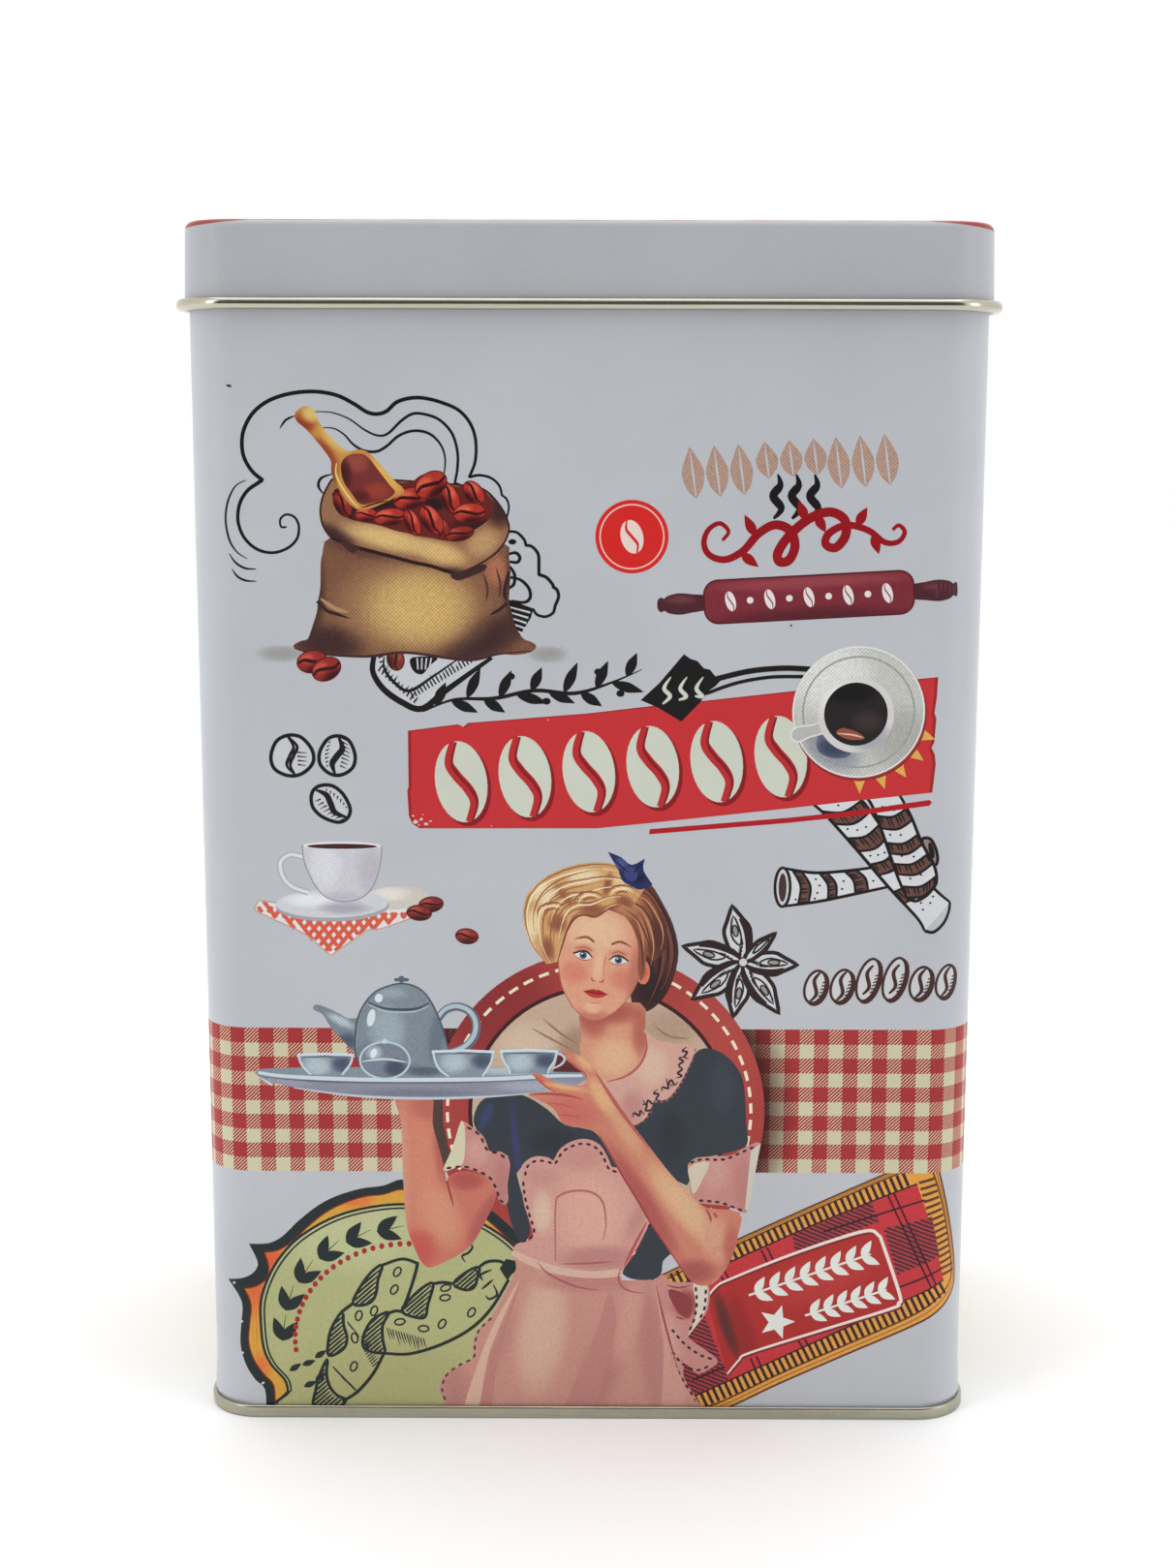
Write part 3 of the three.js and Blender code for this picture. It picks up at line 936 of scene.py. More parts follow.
def draw_steam(art):
    """Curling steam lines behind the sack."""
    pen(art, 0.58,
        [(-44.4, 138.9), (-45.2, 138.9), (-45.3, 140), (-44.4, 140.7), (-43.2, 140.3), (-42.6, 139),
         (-42.9, 137.2), (-44.3, 135.8), (-46.5, 135.1), (-48.8, 135.6), (-50.6, 137.2), (-51.5, 139.5),
         (-51.3, 142), (-50.2, 144), (-48.6, 145.2), (-47.8, 145.7), (-47.8, 145.7), (-49.3, 147),
         (-50.4, 148.9), (-50.7, 151), (-50.3, 153.2), (-48.9, 155.5), (-46.6, 157.2), (-43.5, 158.2),
         (-40, 158.5), (-36.8, 158), (-34.3, 156.8), (-32.4, 155.6), (-30.9, 155.3), (-29.5, 155.7),
         (-28, 157), (-26, 157.6), (-24, 157.6), (-21.5, 157), (-19, 155.9), (-17.3, 154), (-16.5, 151.5),
         (-16.6, 148.5), (-17.5, 146.2), (-17.5, 146.2), (-16, 146.5), (-14.3, 146.1), (-13.1, 145),
         (-12.7, 143.6), (-12.7, 143.6), (-12, 143), (-11.7, 141.8), (-12.1, 140)], ends=(0.5, 0.5))
    pen(art, 0.42,
        [(-39.9, 155.6), (-37.5, 155.5), (-35, 154.6), (-32.7, 153), (-30.8, 152.2), (-29.3, 152.5),
         (-27.5, 154.2), (-25.8, 155.3), (-24, 155.3), (-21.8, 154.5), (-20, 152.6), (-19.2, 150),
         (-19.2, 147.5), (-19.6, 145.4), (-19.6, 145.4), (-18, 144.8), (-16.3, 144.7), (-14.8, 144),
         (-13.7, 142.6), (-13.2, 141)],
        [(-38.8, 153.3), (-37.2, 153.2), (-35.7, 152.3), (-34.4, 150.9), (-32.8, 150), (-31, 149.9),
         (-29.5, 150.7), (-27.7, 152.2), (-25.5, 152.9), (-23.3, 152.5), (-21.7, 151), (-21, 149),
         (-21.2, 146.6), (-21.7, 145.3)], [(-37.6, 146.6), (-39.2, 146), (-39.6, 144.8), (-38.8, 143.6)])
    pen(art, 0.34,
        [(-50.2, 145.7), (-51.8, 144.8), (-53, 142.5), (-53.4, 139.8), (-52.9, 137), (-51.8, 135.2),
         (-50.3, 134.2)], [(-53, 135), (-52, 133.6), (-50.6, 132.8), (-49, 132.7)],
        [(-52.6, 132.7), (-51.8, 131.6), (-50.6, 131), (-49, 130.9)],
        [(-45.1, 153.2), (-44.2, 154.4), (-42.9, 155)], [(-52.8, 159.4), (-52, 159.2)])


def draw_behind_sack(art):
    """Pen drawings that show past the sack: a cup heaped with cream, and a wafer on a plate."""
    pen(art, 0.5,
        [(-11.9, 138.3), (-10.6, 138.2), (-9.5, 137.2), (-9.2, 136.3), (-9.2, 136.3), (-8.3, 136.1),
         (-7.4, 135), (-7.3, 133.3), (-7.3, 132), (-7.3, 132), (-6.2, 131.6), (-5.3, 130.6), (-5.2, 130.2),
         (-5.2, 130.2), (-4.6, 129.7), (-4.4, 128.7), (-4.9, 127.4), (-5.2, 126.4), (-6.3, 125.8),
         (-7.6, 126.1), (-8.2, 127)],
        [(-11.5, 131.6), (-10, 131.2), (-8.8, 130), (-8.6, 128.6), (-9.5, 127.9), (-11.4, 128.1)],
        [(-11.6, 133.2), (-10.9, 132), (-11, 130.6), (-11.7, 130)],
        [(-11.7, 135), (-10.7, 135.2), (-10.1, 134.5), (-10.5, 133.8), (-11.6, 133.9)], ends=(0.8, 0.8))
    art.fill(oval(-11.2, 136.8, 0.6, 0.4), BLACK)
    art.fill([(-12, 128.4), (-8.1, 127), (-8.5, 125.6), (-10.4, 122.6), (-11.5, 123)], BLACK)
    for step in range(6):
        z = 127.4 - 0.78 * step
        art.stroke([(-11.6, z - 0.2), (-8.6 - 0.28 * step, z - 1.0)], 0.34, PAPER, (0.6, 0.9))
    dish = curve([(-31.8, 119.9), (-32, 117.5), (-30.5, 115), (-27.8, 113), (-24.8, 112), (-21.5, 114.5),
                  (-17.8, 117.2), (-14.3, 119.7)])
    art.fill(dish, PAPER)
    art.stroke(dish, 0.95, BLACK, (0.8, 0.6))
    pen(art, 0.5, [(-30.3, 119.8), (-30.3, 118), (-28.9, 116), (-26.6, 114.7), (-23, 116.9), (-19, 119.7)])
    hatch(art, (-31.2, 117.6), (-26, 112.9), 11, 1.5, 55, 0.28, BLACK)
    hatch(art, (-26, 113.6), (-16.8, 119.2), 20, 1.5, 118, 0.26, BLACK)
    hatch(art, (-31.2, 119.6), (-30.6, 117.6), 4, 1.0, 20, 0.26, BLACK)
    art.fill(shape([(-26.1, 119.7), (-26.4, 118.5), (-25.7, 117.4), (-24.6, 117.2), (-23.6, 118.4),
                    (-22.4, 119.7)]), BLACK)
    for step in range(4):
        art.stroke([(-25.4 + 0.7 * step, 119.6), (-25.3 + 0.55 * step, 117.9)], 0.22, PAPER)
    bean(art, -28.6, 119.4, 3.2, 2.4, -80, (120, 52, 42), (160, 85, 60), (60, 25, 22))


SACK = (124, 84, 64)
SACK_DARK = (66, 40, 40)
SACK_LIGHT = (206, 172, 108)


def draw_sack(art):
    """A burlap sack of roasted beans, with a wooden scoop in it."""
    for x, reach in ((-45.5, 4.5), (-6, 3.6)):
        art.fill(oval(x, 120.2, reach, 1.5), shaded(ENAMEL, ((160, 158, 158), x, 120.2, reach, 1.5)),
                 screen=0.7, grain=0.5)
    body = shape([(-43.8, 121.3), (-42.6, 122.1), (-41.6, 122.4), (-40.9, 124.2), (-40.2, 126.3),
                  (-40, 127.9), (-39.6, 130), (-39.5, 133), (-39.2, 135), (-37.9, 137.4), (-30, 138),
                  (-20, 136), (-12.4, 136.5), (-11.7, 134.5), (-11.5, 132), (-11.7, 129), (-11.7, 127.9),
                  (-11.2, 126), (-10.7, 124.3), (-9.7, 122.6), (-8.3, 122), (-7.7, 121.4), (-8.2, 120.7),
                  (-9.7, 120.2), (-11.5, 120.1), (-13.3, 120.3), (-15, 119.6), (-18, 119.3), (-21, 119.6),
                  (-24, 119.9), (-27, 120.4), (-30, 120.3), (-33, 119.8), (-37, 120), (-40.5, 120.2),
                  (-42.5, 120.5)])
    art.fill(body,
             shaded(SACK, (SACK_DARK, -38.5, 121.8, 7, 3.4), (SACK_DARK, -16, 122.2, 9, 4.2, 25),
                    (SACK_DARK, -41, 130, 2.6, 9), (SACK_DARK, -10.6, 130, 2.2, 9),
                    ((92, 60, 50), -30, 135.2, 12, 2, -12), ((170, 130, 88), -26, 127.4, 14, 9),
                    (SACK_LIGHT, -25, 127, 9.6, 7), ((176, 112, 84), -13.6, 132.6, 2.2, 3)), screen=1.9,
             grain=0.62)
    art.stroke(curve([(-43.6, 121), (-40.5, 120.2), (-33, 119.8), (-27, 120.4), (-18, 119.3),
                      (-13.3, 120.2), (-8.4, 120.7)]), 0.4, SACK_DARK, (0.4, 0.4))
    pen(art, 0.5, [(-40.1, 128), (-38.7, 126.6), (-37, 126), (-35.2, 125.4)],
        [(-12, 127.8), (-13.2, 126.8), (-14.6, 126)], [(-11.7, 132.5), (-12.4, 129.5), (-12.1, 128)],
        ink=(56, 34, 34), ends=(1.0, 0.1))
    pen(art, 0.6, [(-39.6, 128.4), (-37.6, 127), (-35.4, 126.3)], ink=(176, 138, 104), ends=(0.3, 0.1))
    pen(art, 0.35, [(-15.5, 132.2), (-14.9, 130), (-15.1, 128)],
        [(-13.6, 133), (-13, 130.6), (-13.2, 128.6)], [(-37.6, 124.4), (-38, 122.4)], ink=(84, 52, 46),
        ends=(0.2, 0.2))

    rim = shape([(-37.9, 137.4), (-39, 139), (-39.4, 141), (-39.1, 143), (-38.2, 144.9), (-37.2, 146),
                 (-34, 146), (-26, 145.6), (-18, 145), (-15.5, 144.5), (-13.9, 143.2), (-12.5, 141.3),
                 (-11.8, 139.6), (-11.7, 138.5), (-12.2, 137), (-13.3, 135.5), (-14.8, 134.3),
                 (-16.5, 133.3), (-18.5, 132.4), (-20, 132.1), (-21.3, 132.6), (-23.5, 133.4), (-26, 133.9),
                 (-29, 134.7), (-32, 135.5), (-34.3, 136.1), (-36.3, 136.9)])
    art.fill(rim,
             shaded((150, 108, 78), (SACK_DARK, -38, 137.4, 5, 2.4, -20), (SACK_DARK, -13, 141.5, 3, 3.4),
                    (SACK_DARK, -20.4, 131.6, 3.4, 2), ((218, 184, 122), -29.5, 137.2, 8.6, 2.1, -14),
                    ((214, 178, 118), -22, 135.2, 5.6, 2.1, -16),
                    ((190, 150, 104), -15.6, 136.6, 3.4, 2.4, 30)), screen=1.3, grain=0.5)
    art.ring(rim, 0.3, (60, 34, 30))
    pen(art, 0.55,
        [(-37.8, 137.3), (-36.2, 136.6), (-33, 135.6), (-29, 134.6), (-26, 133.8), (-23.2, 133.2),
         (-21, 132.5), (-19.4, 132.1), (-18, 132.5), (-16, 133.3)], ink=(46, 26, 26), ends=(0.6, 0.2))
    art.fill(shape([(-36.5, 136.8), (-34.6, 136.3), (-33.8, 135.7), (-34.7, 135.1), (-35.6, 135.6)]),
             (70, 44, 40))
    art.fill(shape([(-20.4, 131.9), (-18.4, 132.6), (-15.4, 133.5), (-15.2, 132.7), (-17.6, 131.6),
                    (-19.4, 131.1)]), (64, 40, 38))
    pile = shape([(-37.2, 144.4), (-36.8, 141.9), (-35.5, 140.3), (-33.8, 139.7), (-31, 139.2),
                  (-28.5, 138.4), (-26.5, 138), (-25, 137.6), (-23, 137.3), (-20.5, 136.9), (-18.3, 137.8),
                  (-16, 139), (-14.4, 140.3), (-13.9, 141.6), (-14.4, 143), (-15.5, 144.5), (-17.5, 145),
                  (-19.8, 144.9), (-21.3, 146.2), (-23, 146.9), (-24.7, 146.4), (-25.8, 145.6),
                  (-27.5, 145.4), (-30, 146)])
    art.fill(pile,
             shaded((104, 36, 34), ((44, 22, 24), -35.8, 142.4, 3, 4),
                    ((44, 22, 24), -31, 141.9, 5, 1.0, 8), ((40, 24, 26), -22.6, 142.3, 2.6, 1.3),
                    ((52, 24, 24), -17, 138.8, 4, 2), ((150, 50, 42), -33.5, 144.6, 3, 3)), screen=0.8,
             grain=0.5)
    for x, z, length, width, tilt in ((-36.1, 142.2, 3.8, 2.2, -62), (-32.6, 140.7, 3.4, 1.8, -4),
                                      (-29.2, 140.4, 4.6, 2.4, 6), (-19, 138, 4.2, 2, 12),
                                      (-21.6, 138.9, 2.8, 2, -60), (-25.9, 139.6, 4, 2, -66),
                                      (-23.1, 140, 4.6, 2.7, -57), (-16.8, 143.9, 3.8, 2.5, -52),
                                      (-20.4, 143.2, 4.5, 2.6, -66), (-17.5, 141, 4.6, 2.8, 6),
                                      (-26.2, 143.1, 4.8, 3, 14), (-23.1, 145.1, 4.9, 3.4, 32)):
        dim = 0.55 if z < 139.2 or x < -33 else 0.0
        bean(art, x, z, length, width, tilt, lerp((176, 52, 42), (110, 36, 34), dim),
             lerp((222, 98, 74), (140, 52, 44), dim))

    scoop = shape([(-42.6, 154.2), (-42.9, 155.2), (-42.3, 156), (-41.2, 156.4), (-40.1, 155.8),
                   (-39.5, 154.4), (-38.3, 152.6), (-36.6, 150.9), (-35.2, 149.9), (-33.5, 150.2),
                   (-32, 149.6), (-30.5, 148), (-28.8, 146), (-27, 144.3), (-28.3, 143.3), (-31.5, 141.8),
                   (-33.3, 141.4), (-34.4, 141.7), (-35.7, 143), (-36.9, 144.9), (-37.7, 146.8),
                   (-37.7, 148.4), (-38.6, 149.9), (-39.9, 151.5), (-41.3, 153.1)])
    art.fill(scoop,
             shaded((196, 140, 72), ((150, 62, 38), -41.8, 153.8, 2.2, 2.6, -50),
                    ((150, 66, 40), -38.6, 149.6, 3.6, 1.5, -52), ((222, 190, 110), -40.4, 155.3, 2, 1.6),
                    ((218, 184, 104), -37.2, 151.7, 3.6, 1.4, -44), ((150, 74, 44), -37.6, 146.6, 1.2, 3),
                    ((226, 178, 84), -29.8, 146.6, 4, 1.3, -50)), screen=0.5, grain=0.42)
    hollow = shape([(-36.3, 147.4), (-36, 148.6), (-35, 149.4), (-33.4, 149.6), (-32.2, 149),
                    (-30.8, 147.2), (-29.2, 145.1), (-28.4, 144), (-29.5, 143), (-31.5, 142.5),
                    (-33.4, 142.2), (-34.7, 143.7), (-35.9, 145.5)])
    art.fill(hollow,
             shaded((118, 50, 48), ((150, 72, 62), -34, 148.4, 2.4, 2),
                    ((74, 28, 30), -35.8, 146.4, 1.4, 3), ((152, 62, 46), -31, 144.2, 2.6, 1.6),
                    ((90, 34, 34), -33.6, 143.4, 2, 1.2)), screen=0.7, grain=0.42)
    pen(art, 0.3, [(-36.9, 148.2), (-37, 146.6), (-36.2, 144.8), (-34.8, 142.8), (-33.8, 141.8)],
        ink=(232, 200, 132), ends=(0.5, 0.5))
    pen(art, 0.26, [(-33.3, 141.7), (-31.5, 142.3), (-29.5, 142.8)], ink=(60, 26, 24))
    for x, z, tilt in ((-41, 119, 10), (-38.9, 117.9, 28)):
        bean(art, x, z, 4.4, 3.2, tilt, (150, 44, 40), (200, 84, 66))


def leaf(x, z, length, width, tilt, bulge=0.45):
    """A pointed leaf that starts at (x, z)."""
    side = [(0, 0), (0, 0), (0.2, 0.36), (bulge, 0.5), (0.75, 0.3), (1, 0), (1, 0), (0.75, -0.3),
            (bulge, -0.5), (0.2, -0.36)]
    return placed(shape([(u * length, v * width) for u, v in side]), x, z, tilt)


def draw_ornaments(art):
    """Leaves, wisps, a flourish, a rolling pin and a round badge, where the tin's lettering would be."""
    for step in range(9):
        x, z = 15.8 + 3.55 * step, 143.2 + 0.25 * step
        if 3 <= step <= 5:
            z += 2.2
        blade = leaf(x, z, 7.6 - (2.2 if 3 <= step <= 5 else 0), 3.3, 98, 0.5)
        art.fill(blade, (178, 148, 132), screen=1.6)
        art.stroke([along([(x, z), blade[len(blade) // 2]], t) for t in (0.05, 0.5, 0.92)], 0.34, ENAMEL,
                   (0.6, 0.2))
    for x in (27.4, 30.1, 32.8):
        wisp = curve([(x - 0.2, 140.3), (x + 0.9, 141.8), (x - 0.3, 143.6), (x + 0.7, 145.2),
                      (x + 0.3, 146.8)])
        art.stroke(wisp, 1.25, BLACK, (0.3, 0.15))
    flourish = curve([(19.7, 137.1), (20.6, 138.4), (19.3, 139.6), (17.6, 138.6), (17, 136.6),
                      (17.9, 134.9), (20.2, 134.3), (22.8, 135.6), (25, 138.1), (27.4, 139.4),
                      (29.6, 138.6), (30.4, 136.4), (29.6, 134.3), (28.2, 134), (27.9, 135.3),
                      (29.5, 137.8), (32.4, 140.3), (35.4, 141.3), (37.6, 140.2), (37.8, 137.9),
                      (36.4, 136.1), (34.9, 136.6), (35.4, 138.2), (38, 139.4), (41.2, 138.6),
                      (43.6, 136.9), (45.6, 137), (46.5, 138.4), (45.6, 139.4), (44.7, 138.7)])
    art.stroke(flourish, 1.4, FLOURISH, (0.35, 0.35))
    for x, z, length, tilt in ((22.4, 135.3, 3.4, -38), (24.6, 137.7, 3.6, 118), (32, 140, 3.2, 112),
                               (33.4, 140.9, 3, -60), (39.4, 139.2, 3.2, 62), (41.8, 138.2, 3.2, -72)):
        art.fill(leaf(x, z, length, 1.5, tilt), FLOURISH)
    art.fill(oval(6.4, 137.6, 5.4, steps=40), (212, 40, 38))
    art.ring(oval(6.4, 137.6, 4.7, steps=40), 0.22, (236, 190, 180))
    cream_bean(art, 6.4, 137.6, 3.3, 5, 14, (232, 214, 206), (212, 40, 38))
    art.fill(oval(30, 124.6, 0.17, steps=8), BLACK)

    tilt = 3.2
    for side, reach in ((-1, 22.4), (1, 22.1)):
        grip = [(15.2, -0.95), (17.2, -1.35), (19.2, -1.6), (20.8, -1.3), (21.4, -0.9), (21.9, -1.1),
                (reach, -0.6), (reach, 0.6), (21.9, 1.1), (21.4, 0.9), (20.8, 1.3), (19.2, 1.6),
                (17.2, 1.35), (15.2, 0.95)]
        grip = placed(shape([(side * u, v) for u, v in grip]), 32.6, 128.8, tilt)
        art.fill(grip,
                 shaded((76, 36, 44), ((112, 58, 66), 32.6 + side * 19, 128.8 + side * 1.06 + 0.6, 3, 0.8)),
                 screen=1.0, grain=0.6)
    barrel = placed(tablet(15.5, 3.2, 2.1), 32.6, 128.8, tilt)
    art.fill(barrel,
             shaded((124, 44, 54), ((88, 32, 42), 32.6, 125.4, 19, 2.4, tilt),
                    ((150, 66, 74), 32.6, 131, 19, 1.2, tilt)), screen=1.1, grain=0.7)
    art.ring(barrel, 0.26, (84, 30, 40))
    for step in range(9):
        x, z = placed([(-11.6 + 2.9 * step, 0)], 32.6, 128.8, tilt)[0]
        if step % 2:
            art.fill(oval(x, z, 0.5, steps=12), (232, 222, 222))
        else:
            cream_bean(art, x, z, 1.5, 3, tilt + 12, (232, 222, 222), (124, 44, 54))


def tablet(half_width, half_height, radius):
    """A rectangle with round corners, about (0, 0)."""
    found = []
    for turn, (x, z) in enumerate([(1, 1), (-1, 1), (-1, -1), (1, -1)]):
        found += bow(x * (half_width - radius), z * (half_height - radius), radius, 90 * turn,
                     90 * turn + 90, 6)
    return found


def cream_bean(art, x, z, width, height, tilt, colour, crease):
    """A plain bean in one colour, with its crease left in another."""
    art.fill(oval(x, z, width / 2, height / 2, tilt, 28), colour)
    line = curve([(0.04, -0.5), (0.14, -0.25), (0.0, 0.0), (-0.14, 0.25), (-0.04, 0.5)])
    art.stroke(placed([(u * width * 1.2, v * height) for u, v in line], x, z, tilt), 0.13 * width, crease,
               (0.5, 0.5))


def draw_banner(art):
    """The red banner with its row of cream beans, the line under it, and the black sprig and diamond."""
    under = [(9.2, 93.1), (9.3, 93.9), (30, 95.7), (40, 96.8), (51.2, 98.5), (51.6, 98.1), (51.2, 97.6),
             (40, 96), (30, 94.9)]
    art.fill(under, (176, 22, 32))
    ribbon = [(-26.9, 108.7), (-19.4, 109.7), (-18.8, 109.2), (-17.9, 109.9), (0, 111.4), (10, 112.6),
              (17, 113.3), (31, 114.9), (52, 117), (51.9, 114), (51.6, 111.6), (51.9, 110.8), (51.7, 107.2),
              (51.3, 106.4), (51.8, 105.4), (52, 103.9), (51.6, 99.6), (40, 98.3), (31.5, 97.3), (20, 96),
              (10, 94.9), (1.5, 94), (-23.5, 93.9), (-25.3, 93.9), (-26.4, 94.6), (-26.9, 95.8),
              (-27.1, 99.6), (-26.9, 100.2)]
    art.fill(ribbon, lerp(BANNER_EDGE, BANNER, 0.2))
    art.fill(placed(ribbon, 0.15, 1.2, 0, 0.988), BANNER)
    for x, z, reach in ((-25.9, 94.9, 0.5), (-25, 95.3, 0.34), (-24.3, 94.6, 0.4), (-26.3, 95.8, 0.26),
                        (-23.6, 95, 0.24), (-25.4, 94.4, 0.22), (-24.8, 96, 0.16), (-14.5, 94.3, 0.16),
                        (47.5, 116.2, 0.18), (-6, 110.4, 0.14)):
        chip = [(x + reach * dice.uniform(0.5, 1.1) * math.cos(t),
                 z + reach * dice.uniform(0.3, 0.8) * math.sin(t)) for t in (0.9 * i for i in range(7))]
        art.fill(chip, (216, 206, 206))
    for step in range(6):
        x = -19 + 9.56 * step
        z = 101 + (x + 19) * 0.083
        art.fill(oval(x + 0.5, z - 0.5, 3.95, 6.3, 8, 32), (136, 22, 30))
        art.fill(oval(x, z, 3.9, 6.2, 8, 32), CREAM)
        line = curve([(0.3, -6.2), (1.5, -3.4), (0.9, -1.2), (-0.6, 1.1), (-1.4, 3.2), (-0.3, 6.2)])
        art.stroke(placed(line, x, z, 8), 1.5, lerp(BANNER_EDGE, BANNER, 0.75), (0.7, 0.7))
        art.stroke(placed(line, x + 0.45, z - 0.1, 8), 0.5, (136, 22, 30), (0.5, 0.5))

    stem = curve([(-24.6, 111.6), (-20, 113.4), (-14, 113.6), (-8, 114.8), (-2, 114.4), (3.4, 116),
                  (8, 118)])
    art.stroke(stem, 0.6, BLACK, (0.4, 0.2))
    for step in range(13):
        x, z = along(stem, 0.06 + 0.072 * step)
        upward = step % 2 == 0
        art.fill(leaf(x, z, 3.9 + 0.6 * (step % 3), 1.55, 66 if upward else -24 + 8 * (step % 3 - 1), 0.5),
                 BLACK)
    for x, z in ((-17.8, 112.1), (-6.2, 113.2), (4.8, 114.4), (-11.5, 116.9), (1.5, 117.6)):
        art.fill(oval(x, z, 0.62, 0.52), BLACK)
    diamond = [(7.8, 113.4), (10.6, 116), (14.2, 120.3), (15.2, 119.6), (16.2, 119.3), (17.2, 118.2),
               (18.1, 118), (18.9, 117), (20, 116.7), (18.9, 115.5), (18, 114.9), (16.6, 113),
               (13.9, 110.2), (10.4, 112.3)]
    for line, width in (([(19, 116.6), (24, 117.8), (29, 118.25), (33, 118.1)], 0.85),
                        ([(17.5, 114.4), (22, 116), (27, 116.9), (32, 117)], 0.55)):
        art.stroke(curve(line), width, BLACK, (1.0, 1.0))
    art.fill(diamond, BLACK)
    for x in (11.8, 14.2, 16.6):
        wisp = curve([(x - 0.7, 112.9 + 0.25 * (x - 12)), (x + 0.4, 114), (x - 0.5, 115.2),
                      (x + 0.5, 116.9)])
        art.stroke(wisp, 0.62, CREAM, (0.4, 0.2))


def draw_saucer(art):
    """A cup of black coffee on its saucer, seen from above, with a paper sun behind it."""
    for angle in (-88, -70, -53, -36, -19):
        ray = [(40.3 + radius * math.cos(math.radians(angle + turn)),
                111.6 + radius * math.sin(math.radians(angle + turn)))
               for radius, turn in ((9.2, -8), (12.2, 0), (9.2, 8))]
        art.fill(ray, (216, 172, 84), screen=1.0)
    art.fill(oval(40.5, 111.3, 10, steps=56), (150, 44, 44))
    art.fill(oval(40.3, 111.7, 9.9, steps=56),
             shaded((196, 196, 190), ((222, 222, 218), 36, 117, 8, 7),
                    ((140, 144, 156), 36.4, 106.4, 6, 4, -30), ((172, 172, 166), 46.4, 108, 6, 6)),
             screen=1.3, grain=0.7)
    art.ring(oval(40.3, 111.7, 8.3, steps=48), 0.28, (156, 156, 156))
    art.ring(oval(40.3, 111.7, 9.75, steps=56), 0.22, (226, 226, 222))
    art.fill(shape([(35.4, 109.4), (34.2, 107.6), (34.4, 105.8), (36.4, 104.8), (38.8, 105), (39, 106.4)]),
             shaded((96, 104, 124), ((60, 68, 90), 36.8, 106.4, 3, 2)), screen=1.6, grain=0.5)
    handle = shape([(35.6, 110.6), (33.6, 109.8), (31.4, 109.5), (30.4, 108.8), (30.4, 107.7),
                    (31.4, 107.2), (33.2, 108), (35.6, 108.8)])
    art.fill(handle, (186, 186, 184), screen=0.7)
    art.ring(handle, 0.24, (226, 224, 220))
    art.fill(oval(39.9, 111.3, 5.7, steps=44),
             shaded((212, 210, 208), ((236, 234, 232), 38, 113.4, 5, 4),
                    ((170, 170, 176), 42.4, 107.8, 4, 3)), grain=0.6)
    art.fill(oval(39.9, 111.4, 4.75, steps=40),
             shaded((36, 31, 32), ((18, 15, 17), 39, 114.6, 5, 2.2), ((58, 48, 48), 41.6, 110.4, 3, 2)),
             screen=0.8, grain=0.6)
    art.fill(shape([(37, 108.6), (38.8, 107.6), (41.3, 107.7), (40.2, 108.7), (38.7, 109.2),
                    (37.8, 109.3)]), (148, 82, 62), screen=0.8)
    pen(art, 0.24, [(37.2, 108.5), (39.4, 108.3), (41, 107.9)], ink=(226, 190, 170))


def wafer_roll(art, left, right, bands, dots):
    """A rolled wafer between two edge lines, with dark bands across it and crumbs between them."""
    art.fill(left + right[::-1], (214, 216, 219))
    for start, end in bands:
        sweep_line = []
        for t in (start, end):
            a, b = along(left, t), along(right, t - 0.05)
            middle = lerp(a, b, 0.5)
            dip = 0.16 * math.dist(a, b)
            dx, dz = b[0] - a[0], b[1] - a[1]
            length = math.hypot(dx, dz) or 1.0
            sweep_line.append(curve([a, (middle[0] + dz / length * dip, middle[1] - dx / length * dip), b]))
        band = sweep_line[0] + sweep_line[1][::-1]
        art.fill(band, (104, 70, 62), screen=1.4)
        for edge in sweep_line:
            art.stroke(edge, 0.4, BLACK, (0.8, 0.8))
        for step in range(9):
            a, b = sweep_line[0][int(step * 1.4)], sweep_line[1][int(step * 1.4)]
            art.stroke([a, lerp(a, b, 0.45), lerp(a, b, dice.uniform(0.6, 0.95))], 0.26, BLACK, (1.0, 0.2))
    for t, s in dots:
        x, z = lerp(along(left, t), along(right, t), s)
        art.fill(oval(x, z, 0.2, 0.16, steps=8), BLACK)
    for edge in (left, right):
        art.stroke(edge, 0.5, BLACK, (0.8, 0.8))


